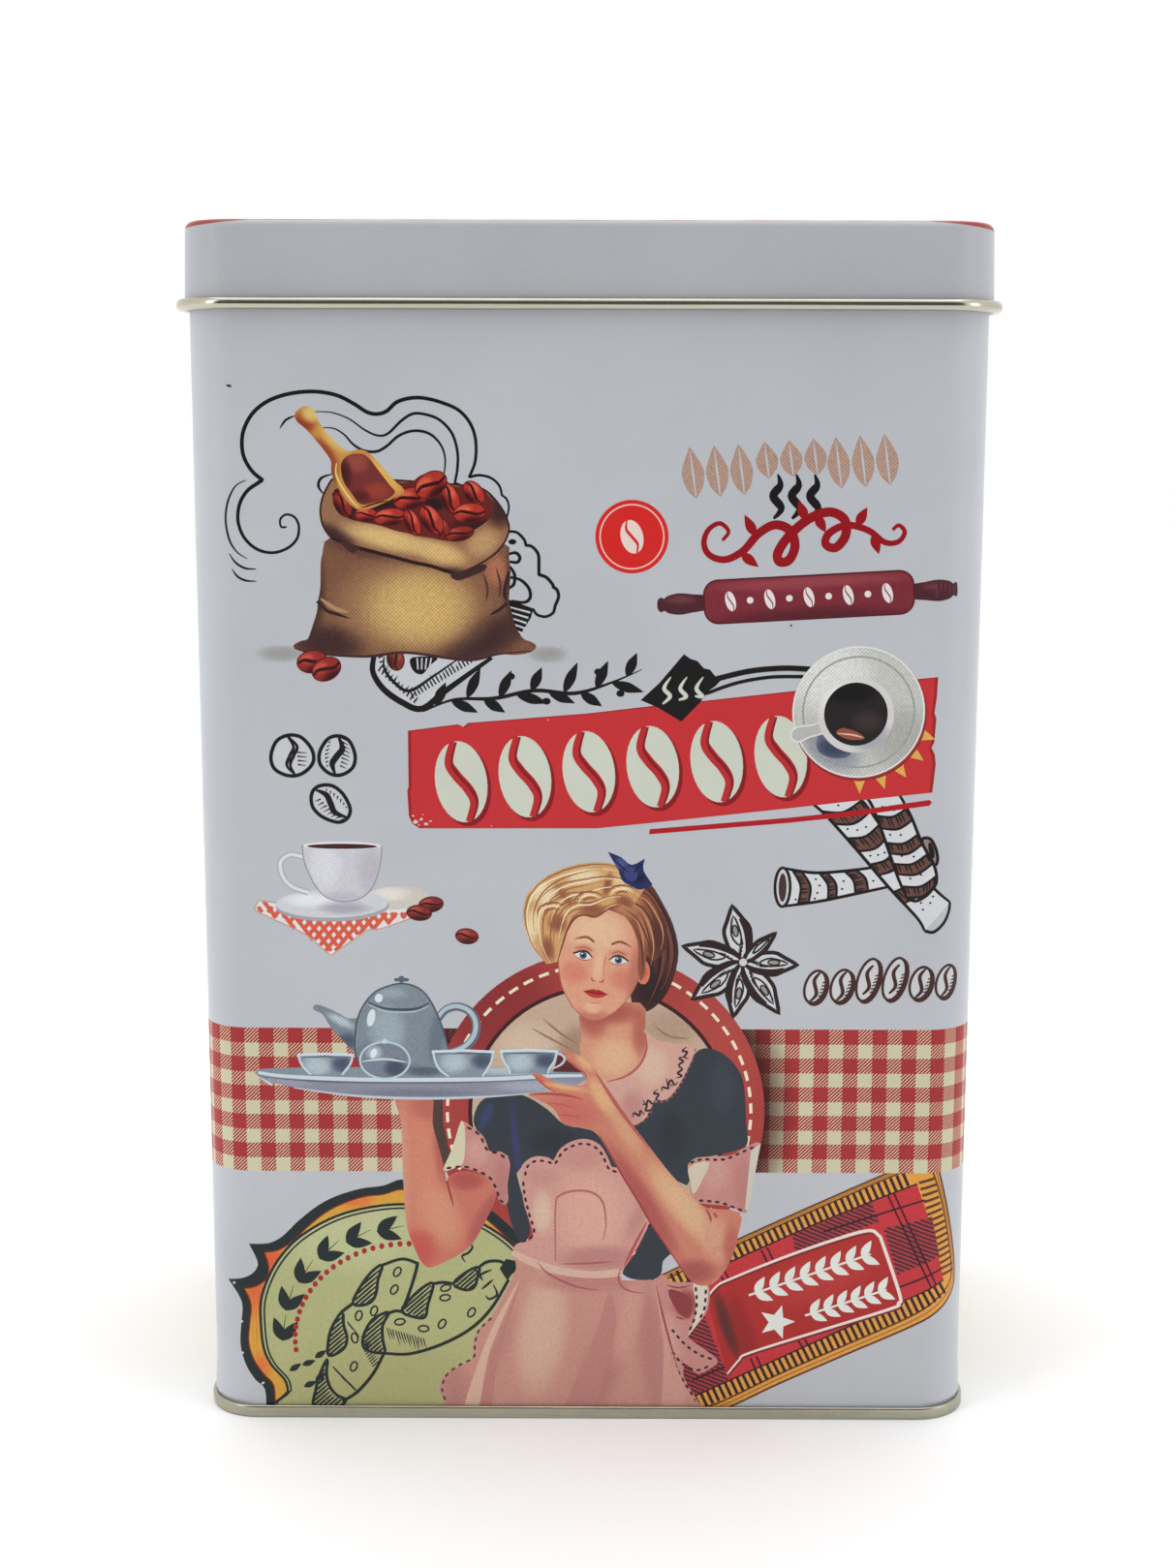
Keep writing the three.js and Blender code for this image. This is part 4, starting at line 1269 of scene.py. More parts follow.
def draw_wafers(art):
    """Three rolled wafers, drawn with a pen."""
    stub = shape([(50.2, 92.3), (51.4, 92.6), (52.3, 91.2), (52.7, 89.4), (52.3, 88.5), (51.3, 89.3)])
    art.fill(stub, (150, 130, 122), screen=1.2)
    art.ring(stub, 0.5, BLACK)
    art.fill(oval(51.7, 90.8, 0.4, 1.3, 15), BLACK)
    top = curve([(29.5, 88), (34, 87.3), (39, 87.6), (44, 88.3)])
    foot = curve([(29.5, 82.1), (35, 82.9), (41, 84.2), (45.5, 85.2)])
    wafer_roll(art, foot, top, ((0.14, 0.24), (0.42, 0.5), (0.68, 0.8)),
               ((0.12, 0.15), (0.33, 0.3), (0.36, 0.55), (0.33, 0.78), (0.57, 0.3), (0.6, 0.6), (0.88, 0.4),
                (0.3, 0.12)))
    art.fill(oval(29.4, 85.05, 1.15, 3), PAPER)
    art.ring(oval(29.4, 85.05, 1.15, 3), 0.45, BLACK)
    art.fill(oval(29.4, 85, 0.6, 2.2), (70, 46, 44))
    left = curve([(33.2, 98.2), (35.6, 96.2), (40.5, 90.8), (45.5, 85), (49.8, 80.4), (51, 78.4)])
    right = curve([(40.4, 99), (41.9, 97.4), (45.4, 92.6), (49, 88.4), (52.6, 84.6), (54.9, 82.7)])
    wafer_roll(art, left, right, ((0.09, 0.19), (0.3, 0.4), (0.5, 0.58), (0.71, 0.8)),
               ((0.06, 0.45), (0.24, 0.2), (0.26, 0.4), (0.25, 0.65), (0.45, 0.2), (0.46, 0.4), (0.46, 0.6),
                (0.65, 0.4), (0.86, 0.4), (0.9, 0.3), (0.9, 0.6), (0.88, 0.8)))
    art.stroke(curve([(51, 78.4), (52.4, 78.2), (54, 79.6), (54.8, 81.4), (54.9, 82.7)]), 0.5, BLACK,
               (1.0, 1.0))
    left = curve([(41.6, 99), (42.7, 97.4), (44.8, 92), (46.6, 87), (48.2, 83.4)])
    right = curve([(46.6, 99.4), (48.4, 96.2), (50.2, 92), (52.2, 88.4), (52.6, 85.8), (51.6, 84.4)])
    wafer_roll(art, left, right, ((0.2, 0.32), (0.46, 0.56), (0.66, 0.76), (0.88, 0.99)),
               ((0.12, 0.3), (0.16, 0.6), (0.39, 0.2), (0.4, 0.5), (0.6, 0.3), (0.62, 0.6), (0.82, 0.3),
                (0.8, 0.6)))
    art.stroke(curve([(48.2, 83.4), (49.6, 83), (51.2, 83.9), (52.4, 85.4)]), 0.5, BLACK, (1.0, 1.0))


def draw_anise(art):
    """A star of anise drawn with a pen."""
    ink = (44, 27, 27)
    core_x, core_z = 23.6, 73.4
    for tip_x, tip_z, width in ((21.8, 82.2, 4), (14.4, 75.9, 3.6), (15.9, 67.6, 3.7), (22.2, 64.8, 3.3),
                                (29.2, 65.4, 3.5), (31.9, 73, 3.5), (28.5, 78, 1.8)):
        length = math.dist((tip_x, tip_z), (core_x, core_z))
        tilt = math.degrees(math.atan2(tip_z - core_z, tip_x - core_x))
        petal = leaf(core_x, core_z, length, width, tilt, 0.55)
        spine = leaf(core_x, core_z, length, 0.1, tilt)
        art.fill(petal, (206, 209, 212))
        art.fill([lerp(a, b, 0.52) for a, b in zip(petal[15:], spine[15:])] + petal[15:][::-1], ink)
        art.ring(petal, 0.62, ink)
        inner = shape([(0.3, 0), (0.5, 0.24), (0.82, 0.03), (0.5, -0.12)])
        art.ring(placed([(u * length, v * width) for u, v in inner], core_x, core_z, tilt), 0.3, ink)
        if width > 2:
            x, z = placed([(0.56 * length, 0.06 * width)], core_x, core_z, tilt)[0]
            art.fill(oval(x, z, 0.9, 0.42, tilt, 14), (150, 148, 146))
            art.ring(oval(x, z, 0.9, 0.42, tilt, 14), 0.24, ink)
            hatch(art, placed([(0.06 * length, 0.3)], core_x, core_z, tilt)[0],
                  placed([(0.3 * length, -0.5)], core_x, core_z, tilt)[0], 5, 1.7, tilt, 0.24, ink)
    art.fill(oval(core_x, core_z, 0.6), (206, 209, 212))


def draw_bean_row(art):
    """Six pale beans with a brown edge and a shadow, in a row."""
    ink = (66, 38, 34)
    for step in range(6):
        tall = step in (2, 3)
        x, z = 34.6 + 4.0 * step, 69.6 + 0.16 * step + (0.8 if tall else 0)
        body = oval(x, z, 1.55, 3.4 if tall else 2.6, -16, 22)
        art.fill(placed(body, 0.45, -0.4), ink)
        art.ring(placed(body, 0.3, -0.25), 0.5, ink)
        art.fill(body, (205, 206, 208))
        art.ring(body, 0.42, ink)
        line = placed(curve([(-0.1, -2.4), (0.5, -1), (-0.4, 0.9), (0.1, 2.4)]), x, z, -16)
        art.stroke(line, 0.6, ink, (0.5, 0.5))
        hatch(art, (x + 0.3, z - 2), (x + 1.1, z + 0.6), 6, 0.8, 20, 0.24, ink)


def draw_small_things(art):
    """Bean sketches, the white cup on its napkin, and stray beans."""
    bean_sketch(art, -44.3, 104.9, 6.2, 6.4, 100)
    bean_sketch(art, -37.5, 104.9, 6, 5.4, 84, close_hatch=True)
    bean_sketch(art, -38.6, 97.6, 6.6, 4.8, -42, close_hatch=True)
    napkin = shape([(-50.5, 81.3), (-49.8, 82.7), (-49.8, 82.7), (-46, 82.2), (-42, 81.2), (-36, 81),
                    (-31, 81.6), (-26.4, 81.6), (-25.9, 80.6), (-28, 79.6), (-31.4, 78.4), (-33.4, 78.2),
                    (-35.6, 76.6), (-37.4, 75.4), (-38.9, 74.2), (-38.9, 74.2), (-40.6, 75.6),
                    (-42.6, 77.4), (-45.8, 79), (-48.6, 80.3)])
    art.fill(napkin, (222, 224, 226))
    for step in range(17):
        for lean, shift_x in ((0.62, -50.5), (-0.7, -47)):
            x = shift_x + 1.5 * step
            line = [(x + lean * k, 82.6 - 0.85 * k) for k in range(11)]
            inside = [p for p in line if within(p[0], p[1], napkin)]
            art.stroke(inside, 0.62, (214, 92, 66), (1.0, 1.0))
    art.ring(napkin, 0.2, (196, 150, 140))
    plate = oval(-29, 83.2, 4.9, 1.8, 4, 28)
    art.fill(plate, shaded((206, 200, 190), ((228, 224, 216), -30, 83.8, 4, 1.4)), screen=0.6, grain=0.5)
    art.fill(oval(-38.6, 81.9, 8.6, 2.4, 1, 36), (166, 164, 172))
    art.fill(oval(-38.7, 82.3, 8.5, 2.2, 1, 36),
             shaded((206, 208, 214), ((232, 234, 238), -42, 82.8, 5, 1.4),
                    ((170, 168, 178), -36.8, 81.6, 5, 1.2)), screen=0.5, grain=0.5)
    handle = curve([(-42.8, 89.4), (-44.8, 89.8), (-46.3, 88.7), (-46.1, 86.6), (-44.7, 84.9), (-42.2, 84)])
    art.stroke(handle, 0.95, (176, 174, 184), (1.0, 1.0))
    art.stroke(handle, 0.5, (222, 224, 230), (1.0, 1.0))
    cup = shape([(-43, 91.2), (-42.8, 89), (-42, 86.7), (-40.9, 84.7), (-39.4, 83.2), (-37, 82.6),
                 (-34.6, 83), (-32.8, 84.4), (-31.8, 86.5), (-31.2, 89), (-31, 91.2), (-31, 91.2),
                 (-37, 91.7), (-43, 91.2)])
    art.fill(cup,
             shaded((202, 202, 209), ((218, 220, 226), -39.6, 88, 3.2, 5),
                    ((188, 185, 196), -32.8, 87.4, 2.6, 5), ((190, 187, 198), -37, 82.8, 4.6, 1.8)),
             screen=0.9, grain=0.5)
    art.ring(cup, 0.2, (150, 148, 160))
    art.fill(oval(-37, 91.2, 5.9, 0.62, 0, 30), (228, 230, 234))
    art.fill(oval(-37, 91.1, 5.3, 0.4, 0, 30), (70, 32, 28))
    for x, z, tilt in ((-23.7, 82.2, 8), (-25.5, 80.9, -4)):
        bean(art, x, z, 3.6, 2.2, tilt, (128, 42, 40), (180, 78, 62))
    bean(art, -18.3, 77.3, 3.3, 2.2, -6, (140, 46, 42), (190, 84, 66))


# ---------------------------------------------------------------- the front picture, lower part
def ribs(art, spine, length, pitch, width, ink):
    """Short bars across a line, square to it."""
    total = sum(math.dist(a, b) for a, b in zip(spine, spine[1:]))
    count = int(total / pitch)
    for i in range(count):
        x, z = along(spine, (i + 0.5) / count)
        ahead_x, ahead_z = along(spine, min((i + 0.5) / count + 0.02, 1.0))
        back_x, back_z = along(spine, (i + 0.5) / count - 0.02)
        run = math.hypot(ahead_x - back_x, ahead_z - back_z)
        across_x = (back_z - ahead_z) / run * length / 2
        across_z = (ahead_x - back_x) / run * length / 2
        art.stroke([(x - across_x, z - across_z), (x + across_x, z + across_z)], width, ink)


def hatched(art, patch, paper, ink, tilt, pitch, width):
    """An area filled with fine parallel lines."""
    art.fill(patch, paper, screen=0.6)
    c, s = math.cos(math.radians(tilt)), math.sin(math.radians(tilt))
    deep = [z * c - x * s for x, z in patch]
    far = [x * c + z * s for x, z in patch]
    level = min(deep) + pitch / 2
    while level < max(deep):
        run = [min(far) + 0.25 * i for i in range(int((max(far) - min(far)) / 0.25) + 1)]
        line = [(t * c - level * s, t * s + level * c) for t in run]
        line = [p for p in line if within(p[0], p[1], patch)]
        if len(line) > 2:
            art.stroke([line[0], line[-1]], width, ink)
        level += pitch


def laurel(art, start, end, count, length, ink):
    """A straight twig with leaves on both sides."""
    tilt = math.degrees(math.atan2(end[1] - start[1], end[0] - start[0]))
    art.stroke([start, lerp(start, end, 0.5), end], 0.34, ink)
    for i in range(count):
        x, z = lerp(start, end, (i + 0.4) / count)
        for lean in (42, -42):
            art.fill(leaf(x, z, length, length * 0.42, tilt + lean), ink)


def draw_label(art):
    """A tartan label with a ribbed gold edge, a red plaque, a star and two twigs."""
    edge = [(10, 22.6), (24, 29.6), (40, 37.2), (50, 41.7), (53.3, 42.5), (55.6, 36), (57.6, 28),
            (58.4, 23.5), (58.1, 20.8), (55.6, 18), (50, 14.9), (40, 10.3), (30, 5.6), (21, 1.2), (14, 0)]
    inside = [(10, 21.6), (24, 28.8), (40, 36.4), (50, 40.9), (52.6, 41.4), (54.9, 35.8), (56.8, 28),
              (57.5, 23.8), (57.2, 21.9), (55, 19.8), (50, 16.6), (40, 11.9), (30, 7.2), (20.2, 2.2),
              (14, 0.6)]
    tartan = [(12, 20.6), (25, 27), (35, 31.7), (45, 36), (50.9, 38.4), (52.1, 35), (53.7, 30), (55.1, 25),
              (55.8, 22.4), (50, 19.7), (40, 14.7), (30, 9.8), (20, 5), (13, 1.6)]
    brown = (104, 62, 36)
    art.fill(curve(edge), (222, 158, 72), screen=1.0)
    art.ring(curve(edge), 0.34, brown)
    art.ring(curve([lerp(out, further_in, 0.5) for out, further_in in zip(edge, inside)]), 0.2,
             (160, 104, 48))
    art.ring(curve(inside), 0.3, brown)
    ribs(art, [(13, 22.5), (30, 30.5), (40, 35.1), (49.6, 39.3)], 2.3, 1.02, 0.5, (58, 34, 34))
    ribs(art, [(52.3, 39.4), (53.5, 35), (55, 30), (56.3, 25.2), (56.7, 23)], 2.6, 1.02, 0.46, (96, 56, 38))
    ribs(art, [(16, 1.9), (25, 6), (35, 10.9), (45, 15.7), (53, 19.6), (56, 21.4)], 2.5, 1.02, 0.5,
         (58, 34, 34))
    art.fill(tartan, (194, 54, 60), screen=0.9)
    for patch in ([(31.6, 30.1), (44, 35.5), (45.2, 32.2), (32.4, 27)],
                  [(45.9, 31.2), (53.4, 33.1), (54.9, 26.4), (48.2, 23.6)],
                  [(36.5, 13), (47.4, 18.2), (49.6, 18.9), (38.6, 14.3)],
                  [(12, 20.6), (18, 18), (22.3, 6.2), (13, 1.6)]):
        hatched(art, patch, (162, 60, 64), (70, 32, 46), -22, 0.62, 0.28)
    thin = (52, 24, 36)
    for line in ([(46.4, 36.6), (53.6, 21.4)], [(47.3, 37), (54.4, 21.8)], [(27, 27.6), (28.2, 25.2)],
                 [(27.9, 28), (29.1, 25.6)], [(33, 12.8), (33.8, 11.4)], [(33.9, 13.2), (34.7, 11.8)],
                 [(25.6, 9.8), (26.4, 8)], [(26.5, 10.2), (27.3, 8.4)], [(20.4, 24), (21.2, 22.6)],
                 [(21.2, 24.4), (22, 23)], [(36.6, 30.6), (52.2, 35.8)], [(47.6, 21.2), (55.4, 24.4)],
                 [(16.6, 6.2), (21.6, 8.4)]):
        art.stroke(line, 0.3, thin)
    art.stroke(tartan[:5], 0.26, thin)
    art.stroke(tartan[8:], 0.26, thin)
    rim = curve([(18.6, 19.6), (20.2, 21.7), (22.4, 22.9), (30, 26.2), (38, 29.2), (43.4, 30.8),
                 (45.1, 30.1), (45.9, 28.5), (48.7, 20.3), (48.5, 19), (47.4, 18.1), (36, 14.3),
                 (25.4, 10.7), (23.8, 9.5), (22, 7.2)])
    art.fill(rim,
             shaded((172, 46, 44), ((92, 44, 44), 21.9, 15.2, 1.5, 7.4, 19),
                    ((184, 56, 54), 36, 23, 12, 5, 20), ((150, 40, 40), 24.4, 14.6, 2.2, 8, 19)),
             screen=0.7, grain=0.6)
    art.stroke([(x + 0.16, z - 0.3) for x, z in rim], 0.5, (122, 36, 36), (0.5, 0.5))
    art.stroke(rim, 0.52, (236, 220, 212), (0.5, 0.5))
    light = (226, 230, 222)
    laurel(art, (25.2, 20.2), (44, 27), 8, 3.1, light)
    laurel(art, (34, 16.9), (46.6, 21.2), 6, 2.9, light)
    star = [(29.6 + r * math.cos(t), 15.8 + r * math.sin(t))
            for r, t in ((2.9 if i % 2 else 1.25, math.radians(38 + 36 * i)) for i in range(10))]
    art.fill(star, light)


def draw_disc(art):
    """The round red label behind the figure, and its shadow on the cloth."""
    x, z = 1.8, 49.6
    inner, outer = 25.0, 31.0
    low_in, high_in, low_out, high_out = (math.degrees(math.asin((edge - z) / radius))
                                          for radius in (inner, outer) for edge in (CLOTH_FOOT, CLOTH_TOP))

    def shadow(px, pz):
        return lerp((92, 68, 66), (255, 255, 255),
                    min(max((math.hypot(px - x, pz - z) - 25.4) / 5.4, 0), 1) ** 0.8)

    art.fill(bow(x, z, outer, low_out, high_out) + bow(x, z, inner, high_in, low_in), shadow, check=1.0,
             grain=0.8)
    art.fill(bow(x, z, outer, 180 - high_out,
                 180 - low_out) + bow(x, z, inner, 180 - low_in, 180 - high_in), shadow, check=1.0,
             grain=0.8)
    art.fill(oval(x, z, 25.4, steps=90),
             shaded((166, 62, 58), ((140, 44, 46), -14, 66, 12, 12), ((176, 70, 64), 20, 60, 9, 14)),
             screen=0.9, grain=1.6)
    stitches = 56
    for step in range(stitches):
        start = step * 360 / stitches
        art.stroke(bow(x, z, 23.3, start, start + 3.9, 3), 0.48, (236, 226, 196), (1.0, 1.0))
    art.fill(oval(x, z, 20.1, steps=80), (58, 22, 26))
    art.fill(oval(x, z, 19.5, steps=80),
             shaded((196, 170, 148), ((210, 186, 164), -9, 60, 6, 5),
                    ((166, 134, 112), -1.4, 60, 4, 5, -35), ((178, 150, 130), 12.4, 63, 6, 4)), screen=0.8,
             grain=1.2)
    pen(art, 0.34, [(-6.8, 64.5), (-4.4, 62.4), (-1.4, 60.4)], [(-8.6, 63), (-5.4, 61.2), (-2, 59.4)],
        [(10, 63.6), (12.4, 61.8), (15.6, 61.4)], ink=(150, 118, 96), ends=(0.2, 0.2))
    art.fill([(-24, 52.2), (-22.2, 52.2), (-22.2, 48), (-21.4, 44), (-20.2, 41), (-22.2, 40.3),
              (-23.4, 44.5), (-24, 48)], (78, 58, 54), screen=1.0)


def draw_medallion(art):
    """An olive shield with a gold border and a pen drawing of twisted bread."""
    middle = -28.7
    black = (34, 43, 44)
    outer = [(-50.4, 0.4), (-50.5, 4.3), (-52, 6), (-53.5, 8.5), (-54.3, 11.5), (-54.1, 15), (-53.8, 18),
             (-54.6, 20), (-56.4, 22), (-56.4, 22), (-53.7, 22.6), (-51.9, 23.6), (-51.2, 25.3),
             (-52.5, 28.3), (-52.5, 28.3), (-49.5, 28.4), (-47.3, 29.5), (-45, 31.8), (-42, 34.3),
             (-39, 36), (-35, 37.3), (-31.5, 37.8), (-28.7, 38.8)]
    border = [(-49, 0.4), (-49.1, 4.9), (-50.6, 6.8), (-52.1, 9.2), (-52.9, 12), (-52.7, 15), (-52.4, 18.4),
              (-53.4, 20.9), (-53.4, 20.9), (-51.5, 21.4), (-49.9, 22.6), (-49.5, 24.6), (-50.1, 26.9),
              (-50.1, 26.9), (-47.9, 27.3), (-45.6, 28.8), (-43.4, 31), (-40.8, 33.2), (-38, 34.8),
              (-34.6, 36), (-31.5, 36.4), (-28.7, 37.2)]
    inner = [(-46.8, 0.4), (-46.9, 4), (-47.4, 6), (-49.3, 8.3), (-50.5, 11), (-50.9, 15), (-50.8, 19),
             (-49.5, 23), (-47.4, 26.5), (-44.5, 29.5), (-40, 32.3), (-35, 34), (-28.7, 34.8)]
    art.fill(shape(mirrored(outer, middle), 4), black)
    gold = shape(mirrored(border, middle), 4)
    art.fill(gold,
             shaded((214, 160, 62), ((220, 104, 56), -51.6, 20, 2.6, 4), ((220, 96, 56), -49, 25.6, 3, 3),
                    ((222, 120, 60), -36, 35.4, 4, 1.6), ((222, 120, 60), -13, 31, 2.4, 3),
                    ((222, 120, 60), -51, 8, 2, 3)), screen=0.8, grain=0.9)
    art.ring(gold, 0.22, (120, 44, 30))
    field = shape(mirrored(inner, middle), 4)
    art.fill(field,
             shaded((178, 180, 128), ((190, 194, 146), -36, 30, 16, 8), ((172, 170, 118), -30, 4, 24, 12)),
             screen=0.8, grain=1.6)
    art.ring(field, 0.42, black)
    art.ring([lerp(p, (middle, 12.0), 0.028) for p in field], 0.3, black)
    for x, z in ((-54, 15.4), (-50.8, 5.4), (-51.4, 24.8), (-55.2, 21.6), (-46, 31), (-54, 10.2)):
        art.fill(oval(x, z, 0.3, 0.2, 40, 8), (206, 200, 186))
    for x, z, tilt in ((-47.6, 12.4, 82), (-47, 17.4, 72), (-44.9, 22, 58), (-41.6, 25.9, 44),
                       (-37.4, 28.6, 28), (-32.6, 30.4, 12)):
        for lean in (26, -30):
            art.fill(leaf(x, z, 4.1, 1.75, tilt + lean), black)
        art.stroke([(x, z), placed([(4.4, 0)], x, z, tilt)[0]], 0.4, black, (0.6, 0.2))
    for step in range(22):
        t = math.radians(186 - 4.6 * step)
        art.fill(oval(-27.8 + 17.8 * math.cos(t), 12.6 + 15.8 * math.sin(t), 0.42, 0.5, 0, 8), (166, 40, 44))
    for x, z, tilt in ((-46.6, 7.4, 34), (-44.6, 8.4, 20), (-42.6, 9.6, 34), (-44.4, 4.8, 24),
                       (-42.6, 5.8, 38)):
        art.fill(leaf(x, z, 2.3, 1.0, tilt), black)
    draw_bread(art, black)
    art.fill([(-13.6, 24.4), (-12.4, 22.4), (-11.6, 23.6), (-10.6, 23.9), (-10.6, 25.6), (-12.6, 26)], black)
    pen(art, 0.4, [(-18.8, 28.6), (-17.8, 28), (-18.4, 27), (-19.4, 26.4), (-18.9, 25.4)],
        [(-17.4, 24.4), (-16.2, 22.4)], [(-17.6, 22.6), (-16.2, 23.6), (-14.8, 24.2)],
        [(-14.6, 21.8), (-14, 20.2), (-15.2, 19.4), (-15.8, 20)], [(-16.4, 21), (-14.6, 22.6)], ink=black)


def draw_bread(art, ink):
    """The twisted bread: outlines, hatched folds and seeds."""
    folds = [[(-31.8, 24.9), (-33.5, 23.8), (-35.5, 21), (-36.5, 18.6), (-35, 18.3), (-33.5, 19),
              (-32.8, 20.5), (-32.5, 22.6)],
             [(-38.2, 17.2), (-39.9, 14.5), (-40.5, 11.8), (-40.4, 10), (-39, 10.4), (-37.8, 11.5),
              (-37.5, 13.2), (-38, 15)],
             [(-40.6, 9.4), (-41.8, 7), (-42.6, 4), (-42.8, 1.6), (-39.4, 1.4), (-37.8, 2.6), (-39.2, 3.4),
              (-40.3, 4.8), (-40.8, 7)],
             [(-30.9, 17), (-31.7, 17), (-33.6, 15.8), (-35, 13), (-34.6, 11), (-31.7, 10.5), (-31.9, 12.5),
              (-31.9, 15)],
             [(-23.9, 21.9), (-25.5, 21.3), (-27.5, 19.4), (-28.9, 17.3), (-26.5, 16.3), (-25.2, 16.5),
              (-24.8, 18.5)],
             [(-16.8, 24.6), (-18.6, 23.9), (-20.8, 21.9), (-19, 20.9), (-17.6, 21.3), (-17, 23)]]
    for fold in folds:
        outline = shape(fold)
        low = min(z for _, z in fold)
        high = max(z for _, z in fold)
        x0 = min(x for x, _ in fold)
        x1 = max(x for x, _ in fold)
        for step in range(int((high - low + x1 - x0) / 0.72)):
            offset = low - (x1 - x0) * 0.5 + 0.72 * step
            line = [(x0 + (x1 - x0) * k / 14, offset + (x1 - x0) * 0.9 * k / 14) for k in range(15)]
            inside = [p for p in line if within(p[0], p[1], outline)]
            art.stroke(inside, 0.36, ink, (1.0, 0.6))
        art.ring(outline, 0.5, ink)
    pen(art, 0.54,
        [(-31.8, 24.9), (-28.8, 25.9), (-26.6, 25.3), (-26.4, 24.9), (-27, 22.5), (-28, 19.5),
         (-28.9, 17.3)], [(-36.5, 18.6), (-38.4, 17.1)], [(-30.9, 17), (-29.8, 17.4), (-28.5, 17.2)],
        [(-23.9, 21.9), (-22.4, 22.1), (-20.8, 21.9)],
        [(-16.8, 24.6), (-15.5, 25.5), (-13.6, 25.6), (-12.4, 24.9)],
        [(-31.6, 10.4), (-28, 10.3), (-24, 11.4), (-20, 13.3), (-17, 15.5), (-14.5, 18.5), (-12.2, 22.6)],
        [(-38.4, 2.4), (-36, 4), (-33.5, 7), (-31.7, 10.5)], ink=ink, ends=(0.9, 0.9))
    for x, z, tilt in ((-29.5, 23.8, 60), (-30, 20.9, 60), (-33.2, 17.4, 70), (-35.6, 16.6, 75),
                       (-29.2, 15.6, 10), (-25.5, 14.5, 0), (-22.6, 15.3, 60), (-22.1, 19.6, 10),
                       (-22, 21.2, 20), (-18, 17.2, 60), (-36.3, 12.9, 100), (-36.5, 8.2, 70)):
        art.ring(oval(x, z, 0.82, 0.5, tilt, 12), 0.3, ink)
    hatch(art, (-31.2, 14.6), (-25.6, 12.9), 14, 2.3, -76, 0.2, ink)
    hatch(art, (-39.8, 8.2), (-37.2, 5.4), 10, 2.0, -52, 0.22, ink)
    hatch(art, (-37.4, 15.6), (-36.2, 14), 6, 1.5, -56, 0.22, ink)
    hatch(art, (-35.2, 11.4), (-33.6, 8.2), 9, 1.5, 40, 0.22, ink)


SKIN_LIGHT = (222, 176, 138)
SKIN_SHADE = (176, 92, 86)
APRON = (206, 153, 142)
DRESS = (52, 58, 66)
STITCH = (60, 34, 46)


def stitched(art, line, ink=STITCH, width=0.42, dash=1.3):
    """A running stitch along a smooth line."""
    line = curve(line)
    total = sum(math.dist(a, b) for a, b in zip(line, line[1:]))
    count = max(int(total / dash), 1)
    for i in range(count):
        art.stroke([along(line, (i + t) / count) for t in (0.08, 0.35, 0.62)], width, ink, (0.7, 0.7))


